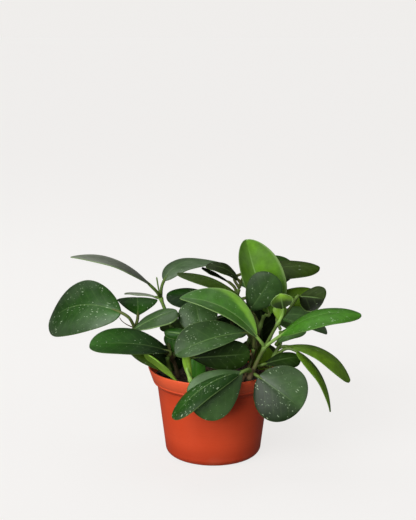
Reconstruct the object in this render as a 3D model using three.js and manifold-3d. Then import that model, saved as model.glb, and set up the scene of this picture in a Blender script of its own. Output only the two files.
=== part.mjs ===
// A hoya in a plastic nursery pot: a tapered pot with a deep rim band, a fill of soil, and eleven
// leafy stems that stand in plain holes in the soil. Each stem is one grown piece: the stem itself,
// the leaf stalks and the thick oval blades. Millimetres, +Z up, origin at the centre of the pot's
// underside, -Y towards the front.

import * as THREE from 'three';
import { mergeVertices } from 'three/addons/utils/BufferGeometryUtils.js';
import Module from 'manifold-3d';

const wasm = await Module();
wasm.setup();

// ---- driving dimensions ---------------------------------------------------------------------

const POT = {
  height: 106,         // underside to the top of the rim
  rimRadius: 76,       // outside, at the top of the rim
  bandRadius: 70.3,    // outside, at the lower edge of the rim band
  bandHeight: 17.4,    // rim top down to the lower edge of the band
  bodyRadius: 65.5,    // outside, where the body starts under the band
  shoulderHeight: 22.2,// rim top down to the top of the body
  footRadius: 56.3,    // outside, where the body meets the rounded foot
  footRounding: 9,     // radius of the rounded foot
  wall: 2.2,
  floor: 3,
  lip: 0.9,            // rounding of the rim's top edges
  sides: 48,
};

const DRAIN = { count: 6, radius: 4, ring: 34, sides: 10 };

// `gap` is the clearance from the soil to the pot.
const SOIL = { top: 92, dome: 3, gap: 0.35, rings: 3, sides: 32 };

// A stem's hole runs straight from `under` its foot past its point number `mouth`.
const HOLE = { radius: 3.6, sides: 8, mouth: 1, under: 0.4, over: 14 };

const BLADE = {
  thickness: 1.6,
  rows: 7,                  // facets along a blade
  columns: 4,               // facets across a blade
  taper: 0.5,               // 0 gives an ellipse, more gives a narrower base
  sharp: 0,                 // more than 0 narrows the tip as `taper` narrows the base
};

// `sunk` is the share of a blade's length that its stalk runs under it, and `knuckle` the size of the
// swelling where leaves part from the stem, against the stem's radius.
const STALK = { radius: 2, sides: 5, steps: 4, sunk: 0.1 };
const STEM = { radius: 2.7, sides: 6, facet: 13, knuckle: 1.5 };

// ---- the plant ------------------------------------------------------------------------------
// A stem is a list of points, root first; `slim` gives the point from which it is thinner, and how
// thick it is from there. A leaf grows from the stem point numbered `at`. Its blade
// runs from `base` to `tip`, is `wide` across, and turns its upper side towards `face`. `arch` lifts
// the middle of the blade over the straight line from base to tip, `cup` lowers its two edges (or
// raises them when negative), `fold` bends the blade in a V along its midrib, `bow` bends the midrib
// sideways, and `twist` turns the blade about its length by that many degrees from base to tip.
// `rows` and `columns` give a small or hidden leaf fewer facets.

const STEMS = {
  stem_front: {
    line: [[33, -42, 74], [36, -48, 88], [43, -58, 112], [50, -50, 126], [58, -42, 139],
      [65, -35, 150], [74, -26, 163], [88, -14, 178], [97, -6, 190]],
    slim: { from: 4, radius: 1.8 },
    leaves: [
      { at: 4, base: [49, -45, 152], tip: [-38, -34, 194], wide: 50, face: [0.35, -0.42, 1],
        arch: 7, cup: 0, fold: -8, taper: 0.15, bow: 11, sharp: 0.2 },
      { at: 4, base: [76, -45, 154], tip: [165, -50, 179], wide: 52, face: [-0.1, -0.12, 1],
        arch: 12, cup: 4, taper: 0.15, sharp: 0.05 },
      { at: 2, base: [33, -72, 120], tip: [-44, -108, 78], wide: 31, face: [-0.4, -0.45, 0.8],
        arch: 12, cup: 4, taper: 0.3 },
      { at: 2, base: [33, -76, 121], tip: [-23, -92, 82], wide: 54, face: [0.1, -1, 0.35], arch: 3,
        cup: 3, taper: 0.45 },
      { at: 2, base: [50, -68, 113], tip: [97, -86, 82], wide: 66, taper: 0.1,
        face: [0.1, -1, 0.35], arch: 3, cup: 4 },
      { at: 6, base: [79, -28, 180], tip: [75, -38, 200], wide: 26, face: [0, -1, 0.2], arch: 2,
        cup: -5, taper: 0.8 },
      { at: 8, base: [100, -1, 188], tip: [126, -22, 190], wide: 36, face: [0.1, -0.8, 0.6],
        arch: 1, cup: 3, taper: 0.2 },
      { at: 6, base: [75, -25, 165], tip: [76, -22, 184], wide: 16, face: [0, -1, 0.2], arch: 1,
        cup: 1, rows: 5, columns: 2 },
    ],
  },
  stem_centre: {
    line: [[24, -26, 74], [32, -30, 92], [42, -31, 116], [46, -29, 134]],
    leaves: [
      { at: 3, base: [38, -40, 155], tip: [-42, -66, 137], wide: 46, face: [-0.1, -0.55, 0.85],
        arch: 8, fold: -9, cup: 0, taper: 0.35 },
    ],
  },
  stem_middle: {
    line: [[-18, -44, 74], [-20, -56, 92], [-25, -62, 106], [-30, -55, 120], [-28, -44, 132]],
    leaves: [
      { at: 4, base: [-24, -30, 149], tip: [-56, -25, 152], wide: 14, face: [0, -0.85, 0.5],
        arch: 3, cup: 3, taper: 0.3, rows: 5, columns: 2 },
      { at: 4, base: [-12, -24, 142], tip: [-21, -4, 185], wide: 46, face: [0, -0.85, 0.5],
        arch: 3, cup: 3, taper: 0.4 },
      { at: 4, base: [-24, -50, 129], tip: [42, -40, 131], wide: 34, face: [0, -1, 0.2], arch: 3,
        cup: 2, taper: 0.35 },
      { at: 3, base: [-19, -26, 128], tip: [-20, -30, 99], wide: 22, face: [0, -1, 0.2], arch: 2,
        cup: 2, rows: 5, columns: 2 },
      { at: 2, base: [-24, -58, 100], tip: [-31, -60, 138], wide: 10, face: [0.3, -1, 0.1],
        arch: -2, cup: 1, taper: 0.6, rows: 5, columns: 2 },
    ],
  },
  stem_left: {
    line: [[-36, -8, 74], [-40, -8, 92], [-48, -10, 116], [-68, -14, 134], [-90, -18, 155]],
    leaves: [
      { at: 4, base: [-105, -25, 175], tip: [-195, 28, 148], wide: 68, face: [-0.1, -0.8, 0.6],
        arch: 12, cup: 4, bow: 11, taper: 0.12 },
      { at: 4, base: [-93, -26, 153], tip: [-42, -8, 173], wide: 42, face: [0, -0.15, 1], arch: 3,
        cup: 3 },
      { at: 4, base: [-87, -6, 167], tip: [-92, 50, 172], wide: 48, face: [0.05, -0.1, 1], arch: 9,
        cup: 2, taper: 0.3 },
      { at: 2, base: [-45, -4, 120], tip: [-49, 4, 145], wide: 20, face: [0, -0.9, 0.4], arch: 2,
        cup: 2, rows: 5, columns: 2 },
      { at: 2, base: [-53, 0, 130], tip: [-50, 4, 96], wide: 42, face: [0, -1, 0.2], arch: 3,
        cup: 2, taper: 0.1, rows: 5, columns: 2 },
    ],
  },
  stem_low_left: {
    line: [[-46, -28, 74], [-46, -34, 100], [-50, -38, 112], [-52, -42, 128]],
    leaves: [
      { at: 3, base: [-49, -46, 135], tip: [-138, -60, 145], wide: 52, face: [0, -0.35, 1],
        arch: 7, cup: 0, taper: 0.25, fold: -4 },
      { at: 2, base: [-49, -40, 107], tip: [-97, -36, 140], wide: 17, face: [-0.4, -0.5, 0.8],
        arch: 2, cup: 2, rows: 5, columns: 2 },
      { at: 1, base: [-40, -58, 103], tip: [-75, -62, 137], wide: 38, face: [0.66, 0.42, 0.62],
        arch: 2, cup: 2 },
    ],
  },
  stem_back_left: {
    line: [[-22, 20, 74], [-28, 22, 92], [-44, 24, 130], [-55, 26, 160], [-62, 28, 179],
      [-65, 30, 192], [-67, 32, 204]],
    slim: { from: 4, radius: 0.9 },
    leaves: [
      { at: 4, base: [-74, 15, 198], tip: [-164, 0, 234], wide: 61, face: [0.35, 0.1, 1], arch: 13,
        cup: 4, sharp: 0.4, taper: 0.3 },
      { at: 4, base: [-58, 35, 199], tip: [17, 80, 208], wide: 52, taper: 0.05,
        face: [0.12, 0.08, 1], arch: 10, cup: 2, bow: -19 },
      { at: 4, base: [-67, 32, 179], tip: [-105, 52, 179], wide: 26, face: [0, 0.25, 1], arch: 2,
        cup: 2, rows: 5, columns: 2 },
    ],
  },
  stem_top: {
    line: [[34, 2, 74], [40, 2, 92], [50, 6, 126], [55, 10, 150], [60, 16, 162]],
    leaves: [
      { at: 4, base: [66, 20, 162], tip: [38, 12, 253], wide: 58, taper: 0, face: [-0.6, -1, 0.1],
        arch: 3, cup: 0, fold: 15, sharp: 0.1, rows: 9 },
      { at: 2, base: [41, -2, 170], tip: [69, -10, 216], wide: 41, face: [0.1, -1, 0.25], arch: 3,
        cup: 3, taper: 0.4 },
      { at: 2, base: [44, 12, 168], tip: [-42, 18, 211], wide: 38, face: [0.25, -0.1, 1],
        arch: 11.5, cup: 4, twist: -15 },
      { at: 3, base: [34, 20, 161], tip: [-55, 24, 184], wide: 49, face: [0.1, -0.3, 1], arch: 8,
        cup: 4 },
      { at: 2, base: [59, 12, 127], tip: [56, 12, 96], wide: 32, face: [0, -1, 0.2], arch: 2,
        cup: 2, taper: 0.2, rows: 5, columns: 2 },
    ],
  },
  stem_back: {
    line: [[8, 32, 74], [12, 36, 92], [22, 46, 140], [28, 54, 170], [31, 58, 184]],
    leaves: [
      { at: 4, base: [30, 50, 196], tip: [-9, 48, 213], wide: 28, face: [0, -0.25, 1], arch: 6.5,
        cup: 0, taper: 0.05, rows: 5, columns: 2 },
      { at: 3, base: [19, 64, 190], tip: [-14, 64, 208], wide: 13, face: [0, -0.1, 1], arch: 1,
        cup: 1, rows: 5, columns: 2 },
      { at: 4, base: [44, 60, 201], tip: [129, 70, 207], wide: 45, face: [0, -0.3, 1], arch: 5,
        cup: 4, taper: 0.25, sharp: 0.1 },
      { at: 3, base: [68, 50, 177], tip: [133, 74, 166], wide: 27, face: [0, -1, 0.4], arch: 4,
        cup: 3, rows: 6 },
      { at: 4, base: [41, 104, 193], tip: [101, 104, 198], wide: 38, face: [0, -1, 0.3], arch: 3,
        cup: 3, taper: 0.1, rows: 6 },
    ],
  },
  stem_right: {
    line: [[50, -16, 74], [56, -18, 92], [64, -22, 110], [70, -26, 124], [76, -22, 138],
      [78, -10, 150]],
    leaves: [
      { at: 3, base: [81, -24, 135], tip: [156, -38, 98], wide: 44, face: [0.45, -0.15, 1],
        arch: 15, cup: 4, taper: 0.5, sharp: 0.05 },
      { at: 3, base: [95, -34, 132], tip: [132, -58, 68], wide: 42, face: [0.85, 0, 0.75],
        arch: 10, cup: 4, taper: 0.1, sharp: 0.2, twist: 18 },
      { at: 2, base: [57, -48, 121], tip: [99, -30, 124], wide: 24, face: [0, -0.6, 0.8], arch: 2,
        cup: 3, rows: 5, columns: 2 },
      { at: 5, base: [78, 4, 164], tip: [134, 46, 139], wide: 46, face: [0, -0.5, 0.9], arch: 8,
        cup: 3, taper: 0.35 },
      { at: 4, base: [72, -30, 140], tip: [103, 8, 149], wide: 28, face: [0.2, 0.2, 1], arch: 3,
        cup: 3, rows: 6 },
    ],
  },
  stem_rear_left: {
    line: [[-6, 44, 74], [-6, 50, 92], [-8, 58, 120], [-6, 64, 142]],
    leaves: [
      { at: 3, base: [-22, 70, 142], tip: [-50, 124, 112], wide: 54, face: [-0.1, 0.4, 1], arch: 8,
        cup: 4, rows: 6 },
      { at: 3, base: [-2, 78, 150], tip: [-8, 156, 132], wide: 56, face: [0, 0.3, 1], arch: 10,
        cup: 4, rows: 6 },
      { at: 3, base: [10, 74, 142], tip: [40, 138, 116], wide: 52, face: [0.1, 0.4, 1], arch: 8,
        cup: 4, rows: 6 },
      { at: 2, base: [-12, 80, 116], tip: [-26, 106, 56], wide: 54, face: [0, 1, 0.4], arch: 6,
        cup: 4, rows: 6 },
      { at: 3, base: [1, 54, 143], tip: [44, 50, 137], wide: 30, face: [0, -1, 0.3], arch: 2,
        cup: 2, rows: 5, columns: 2 },
    ],
  },
  stem_rear_right: {
    line: [[34, 36, 74], [36, 42, 92], [44, 54, 120], [52, 62, 148], [56, 66, 166]],
    leaves: [
      { at: 4, base: [58, 78, 171], tip: [60, 148, 174], wide: 50, face: [0, 0, 1], arch: 5,
        cup: 4, rows: 6 },
      { at: 3, base: [64, 66, 146], tip: [104, 108, 117], wide: 54, face: [0.3, 0.2, 1], arch: 8,
        cup: 4, rows: 6 },
      { at: 2, base: [48, 72, 118], tip: [60, 104, 74], wide: 56, face: [0.2, 1, 0.4], arch: 6,
        cup: 4, rows: 5 },
      { at: 2, base: [59, 42, 111], tip: [56, 38, 174], wide: 35, face: [0, -1, 0.2], arch: 3,
        cup: 2, rows: 5, columns: 2, taper: 0.25 },
    ],
  },
};

const FINISHES = {
  pot: { color: 0xc8552f, roughness: 0.55, metalness: 0 },
  soil: { color: 0x2c211a, roughness: 0.95, metalness: 0 },
  leaf: { color: 0x35592c, roughness: 0.4, metalness: 0 },
};

// ---- geometry helpers -----------------------------------------------------------------------

const vec = (p) => new THREE.Vector3(...p);

/** Turn a closed geometry into a solid, with its shared vertices merged and its faces outwards. */
function solidOf(geometry) {
  geometry.deleteAttribute('normal');
  geometry.deleteAttribute('uv');
  const merged = mergeVertices(geometry, 1e-4);
  const vertProperties = new Float32Array(merged.attributes.position.array);
  const triangles = [];
  for (let i = 0; i < merged.index.count; i += 3) {
    const [a, b, c] = [0, 1, 2].map((k) => merged.index.getX(i + k));
    if (a !== b && b !== c && c !== a) triangles.push(a, b, c);
  }
  const make = (list) => new wasm.Manifold(
    new wasm.Mesh({ numProp: 3, vertProperties, triVerts: new Uint32Array(list) }));
  const solid = make(triangles);
  return solid.volume() > 0 ? solid : make(triangles.reverse());
}

/** Turn a solid back into a geometry that a mesh can show. */
function geometryOf(solid) {
  const { vertProperties, triVerts, numProp } = solid.getMesh();
  const geometry = new THREE.BufferGeometry();
  const positions = new Float32Array((vertProperties.length / numProp) * 3);
  for (let i = 0; i < positions.length / 3; i += 1) {
    for (let k = 0; k < 3; k += 1) positions[3 * i + k] = vertProperties[numProp * i + k];
  }
  geometry.setAttribute('position', new THREE.BufferAttribute(positions, 3));
  geometry.setIndex(new THREE.BufferAttribute(new Uint32Array(triVerts), 1));
  geometry.computeVertexNormals();
  return geometry;
}

/** A round tube of one radius along a smooth line through the points. */
function tube(points, radius, sides, steps) {
  const section = new THREE.Shape();
  for (let k = 0; k < sides; k += 1) {
    const angle = (2 * Math.PI * k) / sides;
    const move = k === 0 ? 'moveTo' : 'lineTo';
    section[move](radius * Math.cos(angle), radius * Math.sin(angle));
  }
  section.closePath();
  const extrudePath = new THREE.CatmullRomCurve3(points, false, 'centripetal');
  return solidOf(new THREE.ExtrudeGeometry(section, { steps, extrudePath, bevelEnabled: false }));
}

// ---- leaves ---------------------------------------------------------------------------------

/** The directions of a blade: along it, across it and out of its upper side. */
function bladeFrame(leaf) {
  const base = vec(leaf.base);
  const along = vec(leaf.tip).sub(base);
  const length = along.length();
  along.normalize();
  const up = vec(leaf.face);
  up.addScaledVector(along, -up.dot(along)).normalize();
  const across = new THREE.Vector3().crossVectors(along, up);
  return { base, along, length, up, across };
}

/** How far the blade reaches to each side at a turn, as a share of its greatest half width. */
function fullness(leaf, turn) {
  const { taper, sharp } = { ...BLADE, ...leaf };
  const outline = (at) => Math.sin(at) * Math.sin(at / 2) ** (2 * taper)
    * Math.max(0, Math.cos(at / 2)) ** (2 * sharp);
  const widest = 2 * Math.atan(Math.sqrt((1 + 2 * taper) / (1 + 2 * sharp)));
  return outline(turn) / outline(widest);
}

/** A point of the blade's middle surface, `turn` in 0..PI from base to tip, `side` in -1..1. */
function bladePoint(leaf, frame, turn, side) {
  const { fold = 0, bow = 0, twist = 0 } = leaf;
  const t = (1 - Math.cos(turn)) / 2;
  const full = fullness(leaf, turn);
  const bend = 4 * t * (1 - t);
  const lean = THREE.MathUtils.degToRad(twist) * (0.5 - t);
  const across = frame.across.clone().applyAxisAngle(frame.along, lean);
  const up = frame.up.clone().applyAxisAngle(frame.along, lean);
  return frame.base.clone()
    .addScaledVector(frame.along, t * frame.length)
    .addScaledVector(across, side * (leaf.wide / 2) * full)
    .addScaledVector(frame.across, bow * bend)
    .addScaledVector(frame.up, leaf.arch * bend)
    .addScaledVector(up, -(leaf.cup * side * side + fold * Math.abs(side)) * full);
}

/** A thin closed blade: two faces split into triangles alike, joined round the rim. */
function blade(leaf) {
  const { rows, columns, thickness } = { ...BLADE, ...leaf };
  const frame = bladeFrame(leaf);
  const positions = [];
  const number = [[], []];
  [0.5, -0.5].forEach((level, face) => {
    for (let i = 0; i <= rows; i += 1) {
      const ends = i === 0 || i === rows;
      number[face].push([]);
      for (let j = 0; j <= (ends ? 0 : columns); j += 1) {
        const side = ends ? 0 : 1 - (2 * j) / columns;
        const point = bladePoint(leaf, frame, (Math.PI * i) / rows, side)
          .addScaledVector(frame.up, level * thickness);
        number[face][i].push(positions.length / 3);
        positions.push(point.x, point.y, point.z);
      }
    }
  });
  const triangles = [];
  const at = (face, i, j) => number[face][i][i === 0 || i === rows ? 0 : j];
  const addFace = (face, a, b, c) => triangles.push(...(face === 0 ? [a, b, c] : [a, c, b]));
  for (const face of [0, 1]) {
    for (let i = 0; i < rows; i += 1) {
      for (let j = 0; j < columns; j += 1) {
        const [a, b] = [at(face, i, j), at(face, i, j + 1)];
        const [c, d] = [at(face, i + 1, j), at(face, i + 1, j + 1)];
        if (c !== d) addFace(face, a, c, d);
        if (a !== b) addFace(face, a, d, b);
      }
    }
  }
  for (let i = 0; i < rows; i += 1) {
    for (const [j, first, second] of [[0, 0, 1], [columns, 1, 0]]) {
      triangles.push(at(first, i, j), at(second, i, j), at(second, i + 1, j));
      triangles.push(at(first, i, j), at(second, i + 1, j), at(first, i + 1, j));
    }
  }
  const geometry = new THREE.BufferGeometry();
  geometry.setAttribute('position', new THREE.Float32BufferAttribute(positions, 3));
  geometry.setIndex(triangles);
  return solidOf(geometry);
}

/** The stalk from the stem to the blade, sunk a little way under the blade's midrib. */
function stalk(leaf, start) {
  const frame = bladeFrame(leaf);
  const end = bladePoint(leaf, frame, 2 * Math.asin(Math.sqrt(STALK.sunk)), 0);
  const heading = end.clone().sub(frame.base).normalize();
  const span = frame.base.distanceTo(start);
  const middle = start.clone().lerp(frame.base, 0.55)
    .lerp(frame.base.clone().addScaledVector(heading, -0.5 * span), 0.5);
  return tube([start, middle, frame.base, end], STALK.radius, STALK.sides, STALK.steps);
}

/** A length of bare stem. */
function shoot(line, radius) {
  let length = 0;
  for (let i = 1; i < line.length; i += 1) length += line[i].distanceTo(line[i - 1]);
  return tube(line, radius, STEM.sides, Math.round(length / STEM.facet));
}

/** One leafy stem, grown as one piece. */
function leafyStem(stem) {
  const line = stem.line.map(vec);
  const { from, radius } = stem.slim ?? { from: line.length };
  const pieces = [shoot(line.slice(0, from + 1), STEM.radius)];
  if (stem.slim) pieces.push(shoot(line.slice(from), radius));
  for (const leaf of stem.leaves) pieces.push(stalk(leaf, line[leaf.at]), blade(leaf));
  for (const at of new Set(stem.leaves.map((leaf) => leaf.at))) {
    const knuckle = new THREE.OctahedronGeometry(STEM.radius * STEM.knuckle);
    knuckle.translate(...line[at].toArray());
    pieces.push(solidOf(knuckle));
  }
  return wasm.Manifold.union(pieces);
}

// ---- pot and soil ---------------------------------------------------------------------------

/** A solid of revolution about Z from a closed outline of [radius, height] points. */
function turned(outline, sides) {
  const points = outline.map(([r, z]) => new THREE.Vector2(r, z));
  const geometry = new THREE.LatheGeometry(points, sides);
  geometry.rotateX(Math.PI / 2);
  return solidOf(geometry);
}

/** Points of an arc of [radius, height] about a centre, from one angle to another in degrees. */
function arc(centre, radius, from, to, steps) {
  return Array.from({ length: steps + 1 }, (_, k) => {
    const angle = THREE.MathUtils.degToRad(from + ((to - from) * k) / steps);
    return [centre[0] + radius * Math.cos(angle), centre[1] + radius * Math.sin(angle)];
  });
}

/** The pot: a flat underside with drain holes, a rounded foot, a tapered body, a shoulder, a rim. */
function potSolid() {
  const p = POT;
  const bandFoot = p.height - p.bandHeight;
  const bodyTop = p.height - p.shoulderHeight;
  const inward = p.wall;
  const outline = [
    [0, 0], [p.footRadius - p.footRounding, 0],
    ...arc([p.footRadius - p.footRounding, p.footRounding], p.footRounding, -72, 0, 4),
    [p.bodyRadius, bodyTop], [p.bandRadius, bandFoot],
    [p.rimRadius, p.height - p.lip], [p.rimRadius - p.lip, p.height],
    [p.rimRadius - inward + p.lip, p.height], [p.rimRadius - inward, p.height - p.lip],
    [p.bandRadius - inward, bandFoot], [p.bodyRadius - inward, bodyTop],
    [p.footRadius - inward, p.footRounding], [p.footRadius - p.footRounding, p.floor],
    [0, p.floor],
  ];
  let pot = turned(outline, p.sides);
  for (let k = 0; k < DRAIN.count; k += 1) {
    const angle = (2 * Math.PI * (k + 0.5)) / DRAIN.count;
    const drill = new THREE.CylinderGeometry(DRAIN.radius, DRAIN.radius, 4 * p.floor, DRAIN.sides);
    drill.rotateX(Math.PI / 2);
    drill.translate(DRAIN.ring * Math.cos(angle), DRAIN.ring * Math.sin(angle), p.floor / 2);
    pot = pot.subtract(solidOf(drill));
  }
  return pot;
}

/** Inner radius of the pot at a height. */
function innerRadius(z) {
  const p = POT;
  const stations = [
    [p.footRounding, p.footRadius], [p.height - p.shoulderHeight, p.bodyRadius],
    [p.height - p.bandHeight, p.bandRadius], [p.height, p.rimRadius],
  ];
  const k = stations.findIndex(([height]) => height >= z);
  const [[z0, r0], [z1, r1]] = [stations[k - 1], stations[k]];
  return r0 + ((r1 - r0) * (z - z0)) / (z1 - z0) - p.wall;
}

/** The plain straight hole that a stem's foot stands in. */
function holeSolid(line) {
  const h = HOLE;
  const curve = new THREE.CatmullRomCurve3(line, false, 'centripetal');
  const mouth = curve.getPoint(h.mouth / (line.length - 1));
  const down = line[0].clone().sub(mouth).normalize();
  const bottom = line[0].clone().addScaledVector(down, h.under);
  const top = mouth.clone().addScaledVector(down, -h.over);
  const drill = new THREE.CylinderGeometry(h.radius, h.radius, top.distanceTo(bottom), h.sides);
  const turn = new THREE.Quaternion().setFromUnitVectors(new THREE.Vector3(0, -1, 0), down);
  drill.applyQuaternion(turn);
  drill.translate(...top.lerp(bottom, 0.5).toArray());
  return solidOf(drill);
}

/** The soil: it fills the pot, with a low mound on top and a plain hole for each stem. */
function soilSolid() {
  const p = POT;
  const s = SOIL;
  const under = p.floor + s.gap;
  const bodyTop = p.height - p.shoulderHeight;
  const bandFoot = p.height - p.bandHeight;
  const outline = [
    [0, under], [p.footRadius - p.footRounding - 1, under],
    [innerRadius(p.footRounding + 1) - s.gap, p.footRounding + 1],
    [innerRadius(bodyTop) - s.gap, bodyTop], [innerRadius(bandFoot) - s.gap, bandFoot],
    [innerRadius(s.top) - s.gap, s.top],
    ...Array.from({ length: s.rings }, (_, k) => {
      const share = 1 - (k + 1) / s.rings;
      return [innerRadius(s.top) * share, s.top + s.dome * (1 - share * share)];
    }),
  ];
  let soil = turned(outline, s.sides);
  for (const stem of Object.values(STEMS)) soil = soil.subtract(holeSolid(stem.line.map(vec)));
  return soil;
}

// ---- the whole plant ------------------------------------------------------------------------

const plant = new THREE.Group();

function addPiece(name, solid, finish) {
  const mesh = new THREE.Mesh(geometryOf(solid), new THREE.MeshStandardMaterial(finish));
  mesh.name = name;
  plant.add(mesh);
}

addPiece('pot', potSolid(), FINISHES.pot);
addPiece('soil', soilSolid(), FINISHES.soil);
for (const [name, stem] of Object.entries(STEMS)) addPiece(name, leafyStem(stem), FINISHES.leaf);

export default plant;
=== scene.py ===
"""A hoya in a plastic nursery pot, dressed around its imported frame.

The pot is a satin moulded shell, the soil a crumbly fill with loose bark, and each leafy stem is
grown in two pieces: a shoot with its leaf stalks, and the thick waxy blades that it carries.
Lengths are metres, except in the table of stems, which is in millimetres. +Z is up, -Y the front.
"""

import logging
import math
import random
from dataclasses import dataclass
from enum import Enum
from typing import Callable, Sequence

import bmesh
import bpy
from mathutils import Euler, Matrix, Vector, noise

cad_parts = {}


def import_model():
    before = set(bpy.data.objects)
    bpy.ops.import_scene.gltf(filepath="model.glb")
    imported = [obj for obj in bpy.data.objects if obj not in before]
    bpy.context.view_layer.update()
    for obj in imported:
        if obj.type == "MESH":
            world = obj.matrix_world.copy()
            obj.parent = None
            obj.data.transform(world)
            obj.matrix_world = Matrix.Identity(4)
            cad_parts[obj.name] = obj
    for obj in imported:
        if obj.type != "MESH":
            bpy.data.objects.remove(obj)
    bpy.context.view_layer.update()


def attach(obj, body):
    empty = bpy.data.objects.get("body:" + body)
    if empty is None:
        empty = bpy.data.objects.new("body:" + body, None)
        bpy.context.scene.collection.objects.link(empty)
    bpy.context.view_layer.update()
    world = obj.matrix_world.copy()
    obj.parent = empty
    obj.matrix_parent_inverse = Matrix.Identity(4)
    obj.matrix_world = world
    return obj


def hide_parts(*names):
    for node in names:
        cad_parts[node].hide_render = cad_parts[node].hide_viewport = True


LOG = logging.getLogger("hoya")
MM = 0.001
Point = tuple[float, float, float]


# ---- what grows ------------------------------------------------------------------------------


class Tone(Enum):
    """The green of a blade's upper side, by its age, as linear colour: SHADED is painted shade, ASH is
    painted grey sheen, and GREY is partly greyed by painted sheen.
    """

    DEEP = (0.010, 0.046, 0.003)
    SHADED = (0.009, 0.024, 0.002)
    GREY = (0.024, 0.060, 0.012)
    MID = (0.014, 0.058, 0.004)
    OLIVE = (0.032, 0.066, 0.003)
    FRESH = (0.042, 0.150, 0.009)
    YOUNG = (0.095, 0.240, 0.009)
    PALE = (0.120, 0.230, 0.018)
    ASH = (0.110, 0.125, 0.090)


class Bark(Enum):
    """How far a shoot has turned woody: how much of its length, from the root, is brown."""

    GREEN = 0.12
    HALF = 0.34
    WOODY = 0.6


@dataclass(frozen=True)
class Leaf:
    """One blade and its stalk, in millimetres.

    It grows from the stem point numbered `at`. The blade runs from `base` to `tip`, is `wide`
    across and turns its upper side towards `face`. `arch` lifts the middle of the blade over the
    line from base to tip, `cup` lowers its edges, `fold` bends it in a V along the midrib, `bow`
    bends the midrib sideways, `taper` narrows the base, `sharp` the tip, and `twist` turns the
    blade by that many degrees from base to tip. `lit` makes its tone lighter or darker, partly as
    its own tone and partly as painted light and shade; `dim` paints shade towards the base, and
    light there when it is below 0; `lean` paints one half of the blade lighter than the other, as
    light falls on a blade that folds; and `glow` paints light shining through one half near the
    base. `flecks`, `bloom_and_sheen` and `edge` say how speckled, how waxy-grey and how
    pale-rimmed the blade is, from 0 to 1: the waxy grey is partly painted sheen, and the pale rim
    partly a painted edge highlight.
    """

    at: int
    base: Point
    tip: Point
    wide: float
    face: Point
    arch: float
    cup: float = 0.0
    fold: float = 0.0
    bow: float = 0.0
    taper: float = 0.5
    sharp: float = 0.0
    twist: float = 0.0
    tone: Tone = Tone.DEEP
    lit: float = 1.0
    dim: float = 0.0
    lean: float = 0.0
    glow: float = 0.0
    flecks: float = 0.3
    bloom_and_sheen: float = 0.3
    edge: float = 0.2


@dataclass(frozen=True)
class Sprig:
    """A thin bare outgrowth of a stem, in millimetres: its points and its radius at both ends."""

    points: tuple[Point, ...]
    root: float
    tip: float
    age: float


@dataclass(frozen=True)
class Stem:
    """One leafy stem: its points from the root up in millimetres, its leaves and its bare twigs.

    From its point number `slim_from` it is `slim_radius` thick. `pale` says how pale its green is.
    """

    line: tuple[Point, ...]
    leaves: tuple[Leaf, ...]
    sprigs: tuple[Sprig, ...] = ()
    slim_from: int = 0
    slim_radius: float = 0.0
    bark: Bark = Bark.HALF
    pale: float = 0.0


# Blades toned SHADED are painted shade: dark blades that fill the shadowed middle of the plant.
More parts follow.
